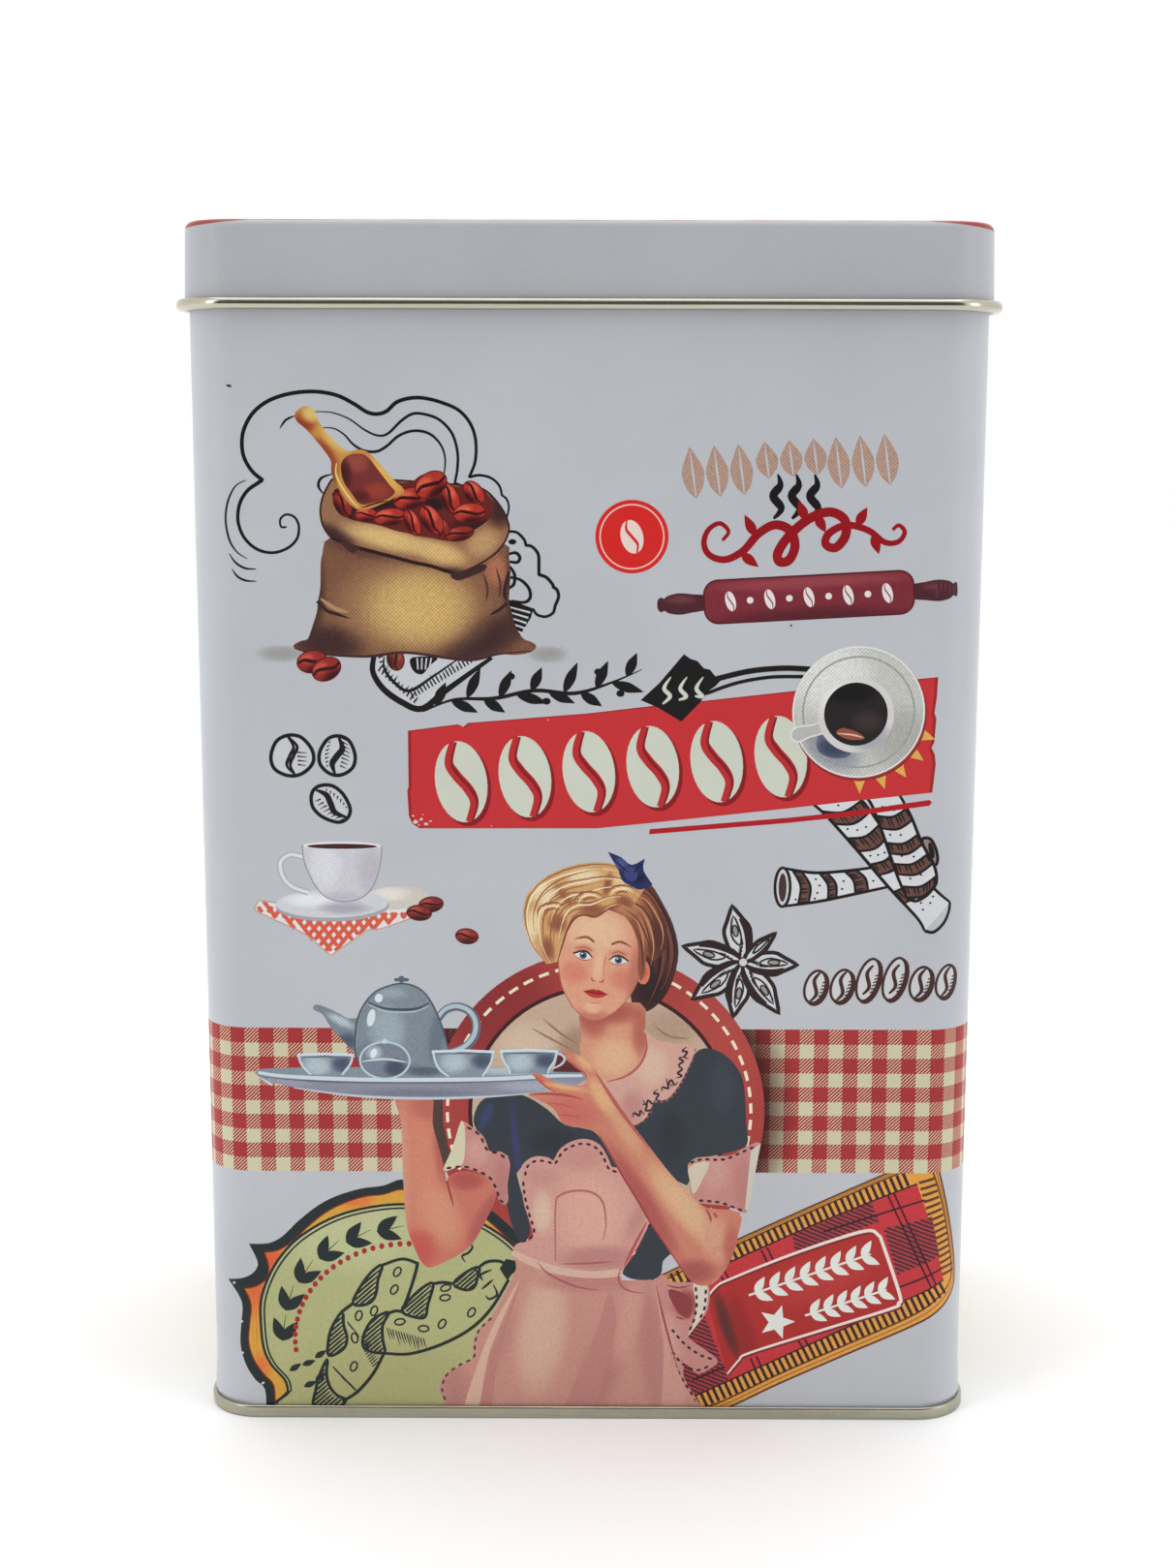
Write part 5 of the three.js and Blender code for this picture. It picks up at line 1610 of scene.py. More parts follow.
def draw_sleeve_side(art):
    """The raised arm on the left, its cuff, and the dress."""
    arm = shape([(-29.3, 52.2), (-28.6, 48), (-28.5, 42), (-28.3, 36), (-27.9, 31), (-26.5, 27),
                 (-25.4, 25), (-24, 24.6), (-20, 26.6), (-17.8, 28.4), (-15.8, 32), (-14.4, 35),
                 (-14, 37.2), (-15.4, 39.3), (-19, 40.2), (-21.3, 39.4), (-21.7, 38.5), (-22, 40.5),
                 (-23, 44.5), (-23.8, 48), (-24, 52.4)])
    art.fill(arm,
             shaded((200, 118, 100), ((208, 150, 126), -28.2, 40, 1.5, 14, 1),
                    ((210, 134, 110), -25.4, 38, 3.4, 17, 2), ((214, 146, 118), -22.6, 33, 4, 7, 20),
                    (SKIN_SHADE, -15.6, 32.6, 2.2, 7, -30), ((198, 90, 82), -26.0, 27.4, 3.6, 4.4),
                    ((176, 84, 78), -18.6, 38.8, 3.6, 2.2), ((186, 104, 92), -24.4, 50.6, 3.4, 3),
                    ((186, 100, 88), -22.6, 42.6, 1.2, 6, 8)), screen=0.9, grain=0.55)
    pen(art, 0.3, [(-21.7, 38.6), (-21.2, 36.6), (-20.6, 34.4)], ink=(150, 60, 56), ends=(0.8, 0.1))
    left = shape([(-17.5, 48.5), (-16.4, 51.3), (-14, 52.5), (-11.5, 52.7), (-9, 52), (-6, 50),
                  (-3.5, 47.7), (0, 47), (3, 45.5), (5.4, 41), (2, 39), (-10, 41), (-9.9, 36), (-8.8, 31),
                  (-9.6, 28.8), (-10.8, 29.3), (-12.2, 33.5), (-12.6, 38), (-12.2, 42.6), (-15, 43.4),
                  (-16.8, 46.4)])
    art.fill(left,
             shaded(DRESS, ((58, 66, 112), -15.6, 49, 0.9, 3, -24), ((56, 62, 106), -10.9, 44, 0.7, 9, 6),
                    ((44, 49, 58), -5, 45, 5, 3)), screen=0.7, grain=0.6)
    cuff = shape([(-19.3, 47.9), (-17.8, 47.3), (-16, 45.8), (-15.3, 44), (-14.8, 43), (-13.5, 43.4),
                  (-12.3, 42.5), (-11.9, 41), (-12.3, 38), (-12.2, 35.5), (-12.8, 34.8), (-13.6, 35.3),
                  (-14.2, 37.3), (-15.5, 39.3), (-18, 40.4), (-20.4, 40.8), (-22.2, 40.3), (-20.8, 43.8)])
    art.fill(cuff,
             shaded((197, 138, 130), ((206, 154, 143), -17, 43.4, 2.4, 3),
                    ((184, 124, 120), -13.2, 38.4, 1.6, 5)), screen=0.8, grain=0.5)
    art.fill(shape([(-19.4, 48.2), (-18.8, 46.5), (-19, 42), (-20, 40.9), (-22.2, 40.3), (-20.8, 43.8)]),
             (212, 206, 176), screen=0.6)
    stitched(art, [(-18.6, 47.3), (-16.6, 46), (-15.4, 43.6), (-13.6, 43), (-12.3, 42)])
    stitched(art,
             [(-21.8, 40.6), (-19, 40.9), (-16.6, 40.1), (-14.9, 39), (-14, 37.2), (-13.4, 35.4),
              (-12.4, 35.2)])
    right = shape([(7, 47.5), (9, 49), (10.3, 51.3), (12.5, 52), (14.5, 55), (16, 58.5), (17.8, 59.9),
                   (20.5, 59.2), (22.8, 57), (24, 54), (24.4, 48), (24.6, 44.6), (22, 43.4), (19, 42.7),
                   (16, 42), (15.4, 38), (10, 42)])
    art.fill(right, shaded(DRESS, ((58, 66, 74), 20.6, 54, 3, 6), ((44, 50, 58), 13, 46, 3, 5)), screen=0.7,
             grain=0.7)
    cuff = shape([(15.5, 41.3), (16.8, 42.3), (19.5, 42.7), (22.2, 42.9), (24, 44), (26.6, 44.9),
                  (25.8, 41), (25.2, 37), (24.6, 33.6), (21.8, 34.7), (17, 35.2), (16, 36.5), (15.8, 39)])
    art.fill(cuff,
             shaded((197, 138, 130), ((204, 152, 141), 19.6, 40, 3, 4), ((188, 128, 122), 24, 38, 1.8, 6)),
             screen=0.8, grain=0.5)
    art.fill(shape([(15.7, 41), (18.8, 41.8), (17.6, 38.6), (16.4, 36.6), (15.9, 38.6)]), (208, 198, 176),
             screen=0.6)
    art.fill([(25.2, 43.6), (26.7, 44.8), (25.9, 40), (24.9, 34), (24.4, 34.2)], (206, 200, 186))
    stitched(art, [(15.8, 41.6), (17.6, 42.2), (21, 42.2), (23.4, 43.2), (26, 44.4)], dash=1.1)
    stitched(art, [(17.2, 35.6), (20.4, 35.3), (22.4, 34.6), (24.4, 33.8)], dash=1.1)


def draw_apron(art):
    """The bib, the waistband, the skirt and the ribbons behind it."""
    ribbons = shape([(10.3, 22.6), (13, 22.4), (16.6, 22.2), (19, 21.6), (18.8, 17.8), (17.4, 15.6),
                     (15.7, 13.6), (17.4, 12), (20.4, 9.6), (19.6, 8.3), (17.4, 7.2), (15.6, 8.8),
                     (15.2, 6.6), (17.6, 2.4), (17.8, 0.4), (8, 0.4)])
    art.fill(ribbons,
             shaded((196, 138, 130), ((150, 66, 66), 15.4, 18.8, 2.4, 3),
                    ((208, 158, 146), 12.6, 12, 2.4, 7)), screen=0.8, grain=0.5)
    art.fill(shape([(12.6, 21), (15.2, 20.4), (16.3, 18.8), (15.9, 16.4), (14, 17.6)]), (140, 62, 66),
             screen=1.4)
    art.fill(shape([(16.6, 22.1), (18.7, 21.7), (18.5, 17.8), (17.2, 15.4), (15.6, 13.3), (16.8, 16),
                    (16.9, 19)]), (216, 206, 190), screen=0.6)
    stitched(art, [(16.9, 21.6), (17.1, 18.6), (16.6, 15.8), (15.8, 14)], dash=1.2)
    stitched(art, [(18.5, 21.2), (18.3, 18), (17.4, 16)], dash=1.2)
    stitched(art, [(13.2, 14.6), (15.4, 12), (18, 10.2), (20, 9.6)], dash=1.1)
    stitched(art, [(13.3, 11), (14.8, 9), (17.2, 7.8), (19.4, 8.7)], dash=1.1)
    stitched(art, [(13.2, 10.2), (14.8, 6.6), (16.4, 4), (17.2, 2)], dash=1.3)
    pen(art, 0.3, [(12.4, 21.8), (14.2, 21.4), (16.2, 21.8)], [(13.8, 16.6), (15.2, 16.2)],
        ink=(150, 70, 74))

    skirt = shape([(-11, 27), (-11, 24.5), (-12.8, 20.5), (-15, 16.6), (-17, 14.3), (-17.8, 12), (-18, 9.6),
                   (-20, 8.3), (-22.3, 6.8), (-23.1, 4.5), (-22.3, 2.2), (-22, 0.4), (18.4, 0.4),
                   (17.2, 2.4), (15.2, 5.6), (13.8, 9), (13, 12), (12.2, 16), (11.3, 20), (10.3, 22.6),
                   (5.4, 22.6), (5, 24.6), (-4, 25)])
    art.fill(skirt,
             shaded((198, 143, 130), ((212, 174, 152), -7, 14, 5, 13, -8),
                    ((182, 124, 116), 2.4, 8, 4, 13, -20), ((184, 126, 118), 10, 12, 2.8, 14, 6),
                    ((204, 150, 136), 6.4, 16, 2.6, 10, -12), ((190, 134, 124), -14.6, 10, 2.2, 10, -24),
                    ((206, 154, 140), 14, 4, 2, 7), ((184, 128, 120), -20.6, 5, 3, 5),
                    ((190, 128, 120), 0, 22.4, 10, 2.4)), screen=0.9, grain=0.6)
    for fold, ink in (([(-10.4, 22.6), (-12.8, 17), (-15.4, 10), (-17.2, 0.6), (-19.4, 0.6), (-17, 9),
                        (-14.2, 16)], (214, 176, 156)),
                      ([(-10.2, 23), (-11.8, 17), (-14, 9), (-15.2, 0.6), (-17, 0.6), (-15.2, 9),
                        (-12.6, 16.4)], (188, 128, 120)),
                      ([(3.4, 20.6), (1.2, 13), (-2.6, 4), (-3.6, 0.6), (0.8, 0.6), (3.2, 9), (4.6, 16)],
                       (188, 130, 122)),
                      ([(10.6, 21.6), (12, 12), (11.8, 4), (11.9, 0.6), (13.4, 0.6), (13.2, 8), (12.6, 14)],
                       (206, 154, 140))):
        art.fill(shape(fold), ink, screen=0.8)
    stitched(art,
             [(-14.8, 16.4), (-16.9, 14.2), (-17.5, 12), (-17.7, 9.8), (-19.8, 8.6), (-22, 6.8),
              (-22.7, 4.4), (-22, 2.2)], ink=(92, 52, 74), width=0.36)
    pen(art, 0.3, [(10.8, 21.6), (11.8, 17), (13, 12.4), (14, 9)], ink=(150, 66, 74))

    waist = shape([(9.8, 31.7), (8, 28), (6.5, 25.5), (5.4, 23.9), (7, 22.8), (10, 22.7), (11.5, 23.6),
                   (11.8, 25.7), (13, 27.3), (11.4, 29.6)])
    art.fill(waist, DRESS, screen=0.7)
    bib = shape([(-10.2, 40), (-9.8, 41.5), (-8, 42.6), (-6, 42.4), (-5.2, 42), (-4.2, 43.8), (-2.2, 45.1),
                 (0, 45.4), (2, 44.4), (3.2, 42.4), (3.8, 41), (5.2, 40.2), (8.8, 34), (9.6, 32), (8, 28.4),
                 (5.8, 24.6), (4.6, 23.2), (-3, 24), (-8, 25.6), (-11.2, 27.4), (-10.8, 28.5), (-8.8, 29.1),
                 (-8.4, 30.3), (-9.2, 33), (-9.9, 35.6)])
    art.fill(bib,
             shaded(APRON, ((216, 186, 164), -6.9, 33.6, 2, 4.4), ((218, 166, 150), 0.6, 33, 7, 9),
                    ((198, 144, 134), -7, 39.4, 3.4, 2), ((188, 130, 124), 2, 26.2, 8, 2.6),
                    ((194, 138, 130), 7.8, 32.6, 1.6, 5, -24), ((198, 142, 132), -1, 42.6, 5, 3)),
             screen=0.9, grain=0.6)
    art.fill(shape([(-11.4, 27.4), (-8, 25.9), (-4, 24.7), (1, 24), (5, 24.4), (5, 23.2), (0, 22.9),
                    (-5, 23.6), (-9, 25), (-11.4, 26.4)]), (214, 178, 160), screen=0.8)
    pen(art, 0.34, [(-7.8, 25.6), (-6, 23.6), (-2, 21.6), (2, 20.9)], [(-4, 25.2), (0, 25.3), (4, 25.6)],
        [(5.2, 24.6), (4.9, 22.6), (6.2, 21), (9, 20.4)], ink=(168, 92, 96), ends=(0.2, 0.2))
    pen(art, 0.36,
        [(-4.9, 25.6), (-4.9, 34.5), (-4.1, 36.4), (-1.5, 37.1), (1, 36.7), (2.5, 35), (2.9, 31.5),
         (2.4, 29)], ink=(176, 104, 98), ends=(0.5, 0.3))
    pen(art, 0.45, [(5.8, 25), (7.4, 28.4), (9.2, 32)], [(8.9, 34), (9.4, 32.6)], ink=(178, 84, 80))
    stitched(art,
             [(-9.6, 39.4), (-9.2, 41), (-7.8, 41.9), (-6, 41.7), (-5, 41.4), (-3.8, 43.3), (-2, 44.4),
              (0, 44.6), (1.8, 43.6), (2.8, 41.8), (3.4, 40.6), (5, 40)], dash=1.2)
    stitched(art, [(-9.9, 38.6), (-9.6, 36), (-8.9, 33), (-8.2, 30.6), (-8.8, 29.4), (-10.6, 28.6)],
             dash=1.2)


def draw_collar(art):
    """The neck and the lace collar."""
    neck = shape([(-0.6, 66), (-0.9, 62), (-1.2, 59.6), (-0.4, 57.4), (1, 55.8), (3, 54.8), (5.6, 55.1),
                  (7.6, 56.9), (8.8, 59.5), (8.8, 62.8), (8, 67)])
    art.fill(neck,
             shaded((212, 150, 122), (SKIN_LIGHT, 4, 58.4, 4.4, 4), ((176, 94, 80), 0.6, 64.6, 3, 4, 20),
                    ((180, 100, 84), 8.2, 62.6, 2, 5), ((170, 90, 76), 3.6, 65.6, 6, 2.6)), screen=0.8,
             grain=0.5)
    collar = shape([(8.6, 62.9), (10.5, 61.2), (14, 60.6), (16.6, 60.4), (15.7, 57.5), (14, 54),
                    (12.2, 51.8), (10, 51.4), (9.5, 49.5), (8, 48), (6.5, 47.8), (4.5, 51), (2.5, 54.4),
                    (4, 55), (6.4, 55.7), (8.2, 57.6), (9.2, 60)])
    art.fill(collar,
             shaded((208, 162, 148), ((216, 182, 162), 9.8, 57, 3.4, 4),
                    ((192, 138, 130), 7, 50.6, 2.4, 3.4)), screen=0.8, grain=0.5)
    pen(art, 0.36, [(3, 54.6), (5.6, 55.3), (7.8, 57), (9, 59.6), (8.8, 62.4)], ink=(176, 92, 84),
        ends=(0.4, 0.4))
    edge = curve([(7, 48.9), (8.6, 49.6), (9.3, 51.4), (11.6, 52.8), (13.2, 55), (14.6, 57.6), (15.6, 59.8)])
    for step in range(9):
        x, z = along(edge, (step + 0.5) / 9)
        turn = dice.uniform(0, 360)
        pen(art, 0.34, placed([(-0.8, 0.3), (-0.2, 0.7), (0.2, -0.1), (0.8, 0.4), (0.9, -0.5)], x, z, turn),
            ink=STITCH)
    stitched(art,
             [(6.6, 47.7), (8.2, 48), (9.7, 49.6), (10.2, 51.2), (12.3, 51.6), (14.2, 54), (15.9, 57.6),
              (16.6, 60.2)], ink=(150, 90, 100), width=0.26, dash=0.9)


def draw_right_arm(art):
    """The arm across the apron, and the hand that steadies the tray."""
    arm = shape([(-3.7, 59.5), (-3.7, 59.5), (-1.8, 59), (0.2, 57.6), (1.5, 56), (3, 53.6), (5, 50.5),
                 (7.2, 47.4), (10, 43.6), (13, 39.7), (16.3, 36.2), (18.5, 34.4), (23.6, 33.7), (23.4, 30),
                 (22.7, 27), (21.4, 24.2), (19.5, 22), (17, 21.9), (15, 23.9), (12.8, 27.2), (10, 31.4),
                 (7.5, 35.8), (5, 40), (3, 43.8), (1.5, 46.2), (-0.5, 47.2), (-3.3, 47.6), (-4.3, 48.7),
                 (-5, 50), (-6.5, 51.1), (-9.2, 52.4), (-9.2, 52.4), (-7.4, 52.8), (-5.2, 52.9),
                 (-5.2, 52.9), (-6.2, 53.7), (-7.6, 54.9), (-8.6, 56), (-8.6, 56), (-7, 55.6), (-5.4, 54.7),
                 (-4.1, 54.1), (-2.3, 53.9), (-0.4, 54.1), (-0.2, 55.2), (-0.8, 56.1), (-2, 57),
                 (-3.2, 58)])
    art.fill(arm,
             shaded((202, 128, 106), ((218, 176, 136), 15, 34.6, 3, 12, 38),
                    ((212, 156, 128), 20, 29.4, 3, 5, 10), ((174, 88, 84), 8.6, 35.4, 2.2, 14, 31),
                    ((168, 88, 84), 16.6, 24, 4.6, 2.6), ((186, 104, 92), 22.4, 28, 1.8, 5),
                    ((200, 108, 96), -2.4, 49.8, 5.6, 3.2, -12), ((222, 172, 128), 2.4, 52, 1.8, 5, 32),
                    ((212, 156, 122), 6, 46.6, 1.8, 6, 32), ((222, 170, 126), -0.4, 57.6, 2.4, 1.1, -44),
                    ((228, 172, 118), -3.4, 53.7, 4.6, 0.6, -10),
                    ((212, 100, 84), -7.6, 54.8, 1.4, 1.1, -42)), screen=0.9, grain=0.5)
    pen(art, 0.42, [(-8.8, 52.5), (-6.6, 52.6), (-4.4, 52.5), (-2.4, 52.2), (-0.6, 51.7)],
        ink=(176, 76, 74), ends=(0.4, 0.1))
    pen(art, 0.24, [(-6.2, 51.1), (-4, 50.9), (-2, 50.4)], [(-4.4, 49.2), (-2.6, 49.1), (-1, 48.7)],
        ink=(184, 92, 84), ends=(0.5, 0.1))
    pen(art, 0.3, [(-8.4, 55.7), (-7.3, 54.6), (-6, 53.5), (-4.8, 52.9)],
        [(-3, 58.1), (-1.9, 57), (-0.7, 56.1), (-0.1, 55.2)], ink=(190, 84, 70), ends=(0.4, 0.3))
    pen(art, 0.6, [(1.3, 55.9), (2.8, 53.5), (4.8, 50.4), (7, 47.3), (9.6, 43.8)], ink=(184, 92, 84),
        ends=(0.2, 0.1))
    pen(art, 0.34, [(18.4, 34.2), (19, 33), (19.2, 32)], [(19.6, 33.6), (20.1, 32.8)], ink=(160, 76, 70),
        ends=(0.8, 0.1))
    pen(art, 0.26,
        [(1.8, 46.2), (3.2, 43.7), (5.2, 39.9), (7.7, 35.7), (10.2, 31.3), (13, 27.1), (15.2, 23.8)],
        ink=(150, 56, 56), ends=(0.3, 0.3))


def tea_bowl(art, left, right, rim, foot_left, foot_right, foot):
    """A small bowl seen from the side."""
    drop = rim - foot
    sides = [[(left, rim), (left + 0.35, rim - 0.4 * drop), (left + 1.1, rim - 0.76 * drop),
              (foot_left, foot)],
             [(right, rim), (right - 0.35, rim - 0.4 * drop), (right - 1.1, rim - 0.76 * drop),
              (foot_right, foot)]]
    body = curve(sides[0]) + curve(sides[1])[::-1]
    middle = (left + right) / 2
    art.fill(body,
             shaded((132, 146, 158), ((178, 194, 202), middle - 1.4, rim - 1.6, 2.8, 2.2),
                    ((74, 84, 106), right - 1.6, rim - 1.3, 2.2, 1.7)), screen=1.2, grain=0.45)
    for side in sides:
        pen(art, 0.34, side, ink=(196, 214, 220), ends=(0.9, 0.7))
    art.stroke([(left - 0.2, rim + 0.1), (middle, rim + 0.3), (right + 0.2, rim + 0.1)], 0.42,
               (206, 222, 228), (0.9, 0.9))
    art.stroke([(left + 0.5, rim - 0.25), (middle, rim - 0.15), (right - 0.5, rim - 0.25)], 0.2,
               (80, 90, 106), (0.5, 0.5))


def draw_tray(art):
    """A tray with a pewter teapot, a sugar bowl and three tea bowls."""
    spout = shape([(-34.6, 64), (-36.5, 64.4), (-38.3, 65.4), (-40.3, 66.3), (-41.5, 66.5), (-41.8, 65.8),
                   (-40.4, 65), (-39.2, 63), (-37.5, 61.1), (-36, 59.4), (-34.4, 58.6)])
    art.fill(spout,
             shaded((122, 132, 142), ((182, 198, 204), -37.6, 64, 3, 0.9, -28),
                    ((78, 86, 104), -36.8, 60.8, 2.4, 1.6)), screen=1.2, grain=0.4)
    ring = curve([(-22.8, 64.4), (-21.6, 65.8), (-19.8, 66.3), (-18, 65.6), (-17, 63.9), (-17.2, 61.8),
                  (-18.5, 60.1), (-20.4, 59.2), (-21.6, 59)])
    art.stroke(ring, 1.35, (96, 106, 122), (0.9, 0.9))
    art.stroke(placed(ring, -0.1, 0.1), 0.7, (176, 194, 202), (0.8, 0.8))
    body = shape([(-35.4, 62.5), (-35, 64.6), (-34, 66.7), (-32.3, 68.6), (-30, 69.6), (-28.3, 69.9),
                  (-26.3, 69.5), (-24.6, 68.2), (-23.3, 66), (-22.2, 63.2), (-21.5, 60.5), (-21.2, 58),
                  (-24, 55.6), (-33, 55.6), (-35.4, 58.6)])
    art.fill(body,
             shaded((126, 138, 148), ((156, 172, 180), -30.6, 62.6, 3.6, 5),
                    ((104, 116, 130), -22.8, 62, 1.8, 6, -12), ((110, 120, 134), -33.6, 58.4, 2.4, 3),
                    ((150, 166, 174), -29.8, 68.4, 3, 1.2), ((96, 106, 120), -27.6, 56, 6, 1.4)),
             screen=1.3, grain=0.5)
    for x, z, reach, high in ((-33, 64.5, 0.6, 1.4), (-31.8, 67.6, 0.6, 0.7)):
        art.fill(oval(x, z, reach, high, -12, 16), (214, 228, 232))
    pen(art, 0.42, [(-33.5, 67), (-31, 66), (-28.3, 65.8), (-26, 66), (-24.1, 66.9)], ink=(66, 74, 92))
    pen(art, 0.24, [(-33.5, 66.6), (-31, 65.6), (-28.3, 65.4), (-26, 65.6), (-24.1, 66.4)],
        ink=(176, 192, 200))
    art.ring(body, 0.26, (74, 84, 100))
    for x, z in ((-28.3, 70.3), (-29, 70.5), (-27.6, 70.5), (-28.3, 70.8)):
        art.fill(oval(x, z, 0.45, 0.3, 0, 10), (86, 98, 112))
    top = [(-50.4, 56), (-49.5, 56.4), (-44.5, 56.6), (-38, 56.7), (-10, 56.6), (-1.4, 56.1), (-0.8, 55.4),
           (-2, 55), (-15, 55.2), (-30, 55), (-44, 55.3)]
    art.fill(shape(top),
             shaded((132, 146, 156), ((176, 192, 200), -12, 56.4, 8, 1.2),
                    ((86, 96, 112), -25, 56.2, 4, 1.2)), screen=1.2, grain=0.5)
    side = [(-50.4, 56), (-50.4, 55.2), (-48.6, 54.3), (-43, 53.1), (-36, 52.3), (-27, 51.9), (-17, 52.1),
            (-8, 52.8), (-2.4, 53.8), (-0.7, 54.6), (-0.7, 55.5), (-15, 55.4), (-30, 55.1), (-44, 55.4)]
    art.fill(shape(side),
             shaded((140, 142, 157), ((152, 156, 170), -46, 54.4, 5, 1, -4),
                    ((164, 170, 184), -8, 53.8, 8, 1.2), ((118, 121, 138), -26, 52.6, 12, 0.9)), screen=1.0,
             grain=0.5)
    rim = curve([(-50.4, 55.8), (-47, 55.3), (-40, 54.9), (-30, 54.7), (-15, 54.9), (-6, 55.4),
                 (-0.8, 55.5)])
    art.stroke(rim, 0.62, (204, 218, 224), (0.7, 0.7))
    pen(art, 0.26, [(-50, 55.1), (-44, 54.6), (-36, 54.3), (-20, 54.3), (-8, 54.8)], ink=(96, 104, 120))
    pen(art, 0.4, [(-50.2, 55), (-48.6, 54), (-48.4, 53.7)],
        [(-45, 53.4), (-36, 52.2), (-27, 51.8), (-17, 52), (-9, 52.6)], ink=(190, 204, 212))
    tea_bowl(art, -44.2, -35.9, 58.5, -42.4, -37.6, 55.5)
    tea_bowl(art, -23.6, -14.4, 59.1, -21.2, -16.1, 55.3)
    tea_bowl(art, -13.2, -4.7, 59.2, -11.8, -6.1, 55.8)
    art.fill([(-5.3, 56.1), (-4.8, 57.6), (-4.5, 59.1), (-3.3, 58.9), (-2.8, 57.9), (-1.8, 57), (-0.6, 56)],
             (92, 38, 40))
    pen(art, 0.36, [(-4.7, 59), (-3.8, 58.7), (-3.5, 58), (-4.1, 57.2), (-5.3, 56.6)], ink=(196, 204, 214),
        ends=(0.9, 0.6))
    bowl = oval(-31, 57.8, 3.8, 2.9, 0, 30)
    art.fill(bowl,
             shaded((120, 130, 144), ((176, 190, 198), -32.6, 59, 1.6, 1.4),
                    ((70, 76, 96), -29.4, 56.6, 2.2, 1.8)), screen=1.3, grain=0.4)
    art.ring(bowl, 0.3, (188, 206, 214))
    pen(art, 0.32, [(-34.5, 57.6), (-31, 58), (-27.6, 57.5)], ink=(200, 216, 222))
    art.fill(oval(-31, 60.8, 0.5, 0.4, 0, 10), (196, 212, 218))
    art.fill(oval(-32.7, 58.9, 0.45, 0.8, -20, 12), (220, 232, 236))


HEAD_X = 2.0                # under the middle of the hair, and how far the head leans
HEAD_Z = 74.0
HEAD_TILT = -8.0
HAIR = (206, 160, 106)
HAIR_LIGHT = (232, 210, 168)
HAIR_SHADE = (146, 84, 60)
HAIR_DARK = (72, 40, 38)


def on_head(points):
    return placed(points, HEAD_X, HEAD_Z, HEAD_TILT)


def combed(art, outer, inner, count, ink, light, width=0.24):
    """Strands that follow the hair from one edge of it to the other."""
    outer, inner = curve(outer), curve(inner)
    for i in range(count):
        share = (i + 0.5) / count
        wave = 0.35 * math.sin(2.4 * i)
        first, last = 0.12 * (i % 3), 1.0 - 0.1 * (i % 4)
        line = []
        for k in range(15):
            t = first + (last - first) * k / 14
            part = min(max(share + 0.12 * wave * math.sin(6.3 * t), 0.02), 0.98)
            line.append(lerp(along(outer, t), along(inner, t), part))
        art.stroke(line, width, light if i % 3 == 1 else ink, (0.15, 0.15))


def draw_back_hair(art):
    """Dark hair swept back over the ear to the nape."""
    back = shape([(3, 87.6), (6.6, 87.4), (9.4, 85.6), (11.4, 82.4), (13, 79), (13.8, 75), (13.1, 71),
                  (11.6, 67.8), (9.2, 65.7), (7, 66.4), (6, 70), (2, 80)])
    art.fill(back,
             shaded(HAIR_DARK, ((112, 62, 50), 11.8, 77, 1.4, 6, 8), ((46, 28, 30), 9.6, 69, 3.4, 3.6),
                    ((96, 52, 44), 9.4, 84, 2.6, 2, -40)), screen=0.9, grain=0.5)
    combed(art, [(7, 87), (10.6, 83.2), (12.8, 78.6), (13.4, 74.6), (12.4, 70.6), (10.4, 67)],
           [(5.6, 84.4), (8, 80), (9.4, 76), (9.6, 72), (9, 69.4), (8.4, 67)], 9, (48, 28, 30),
           (122, 72, 58), 0.26)


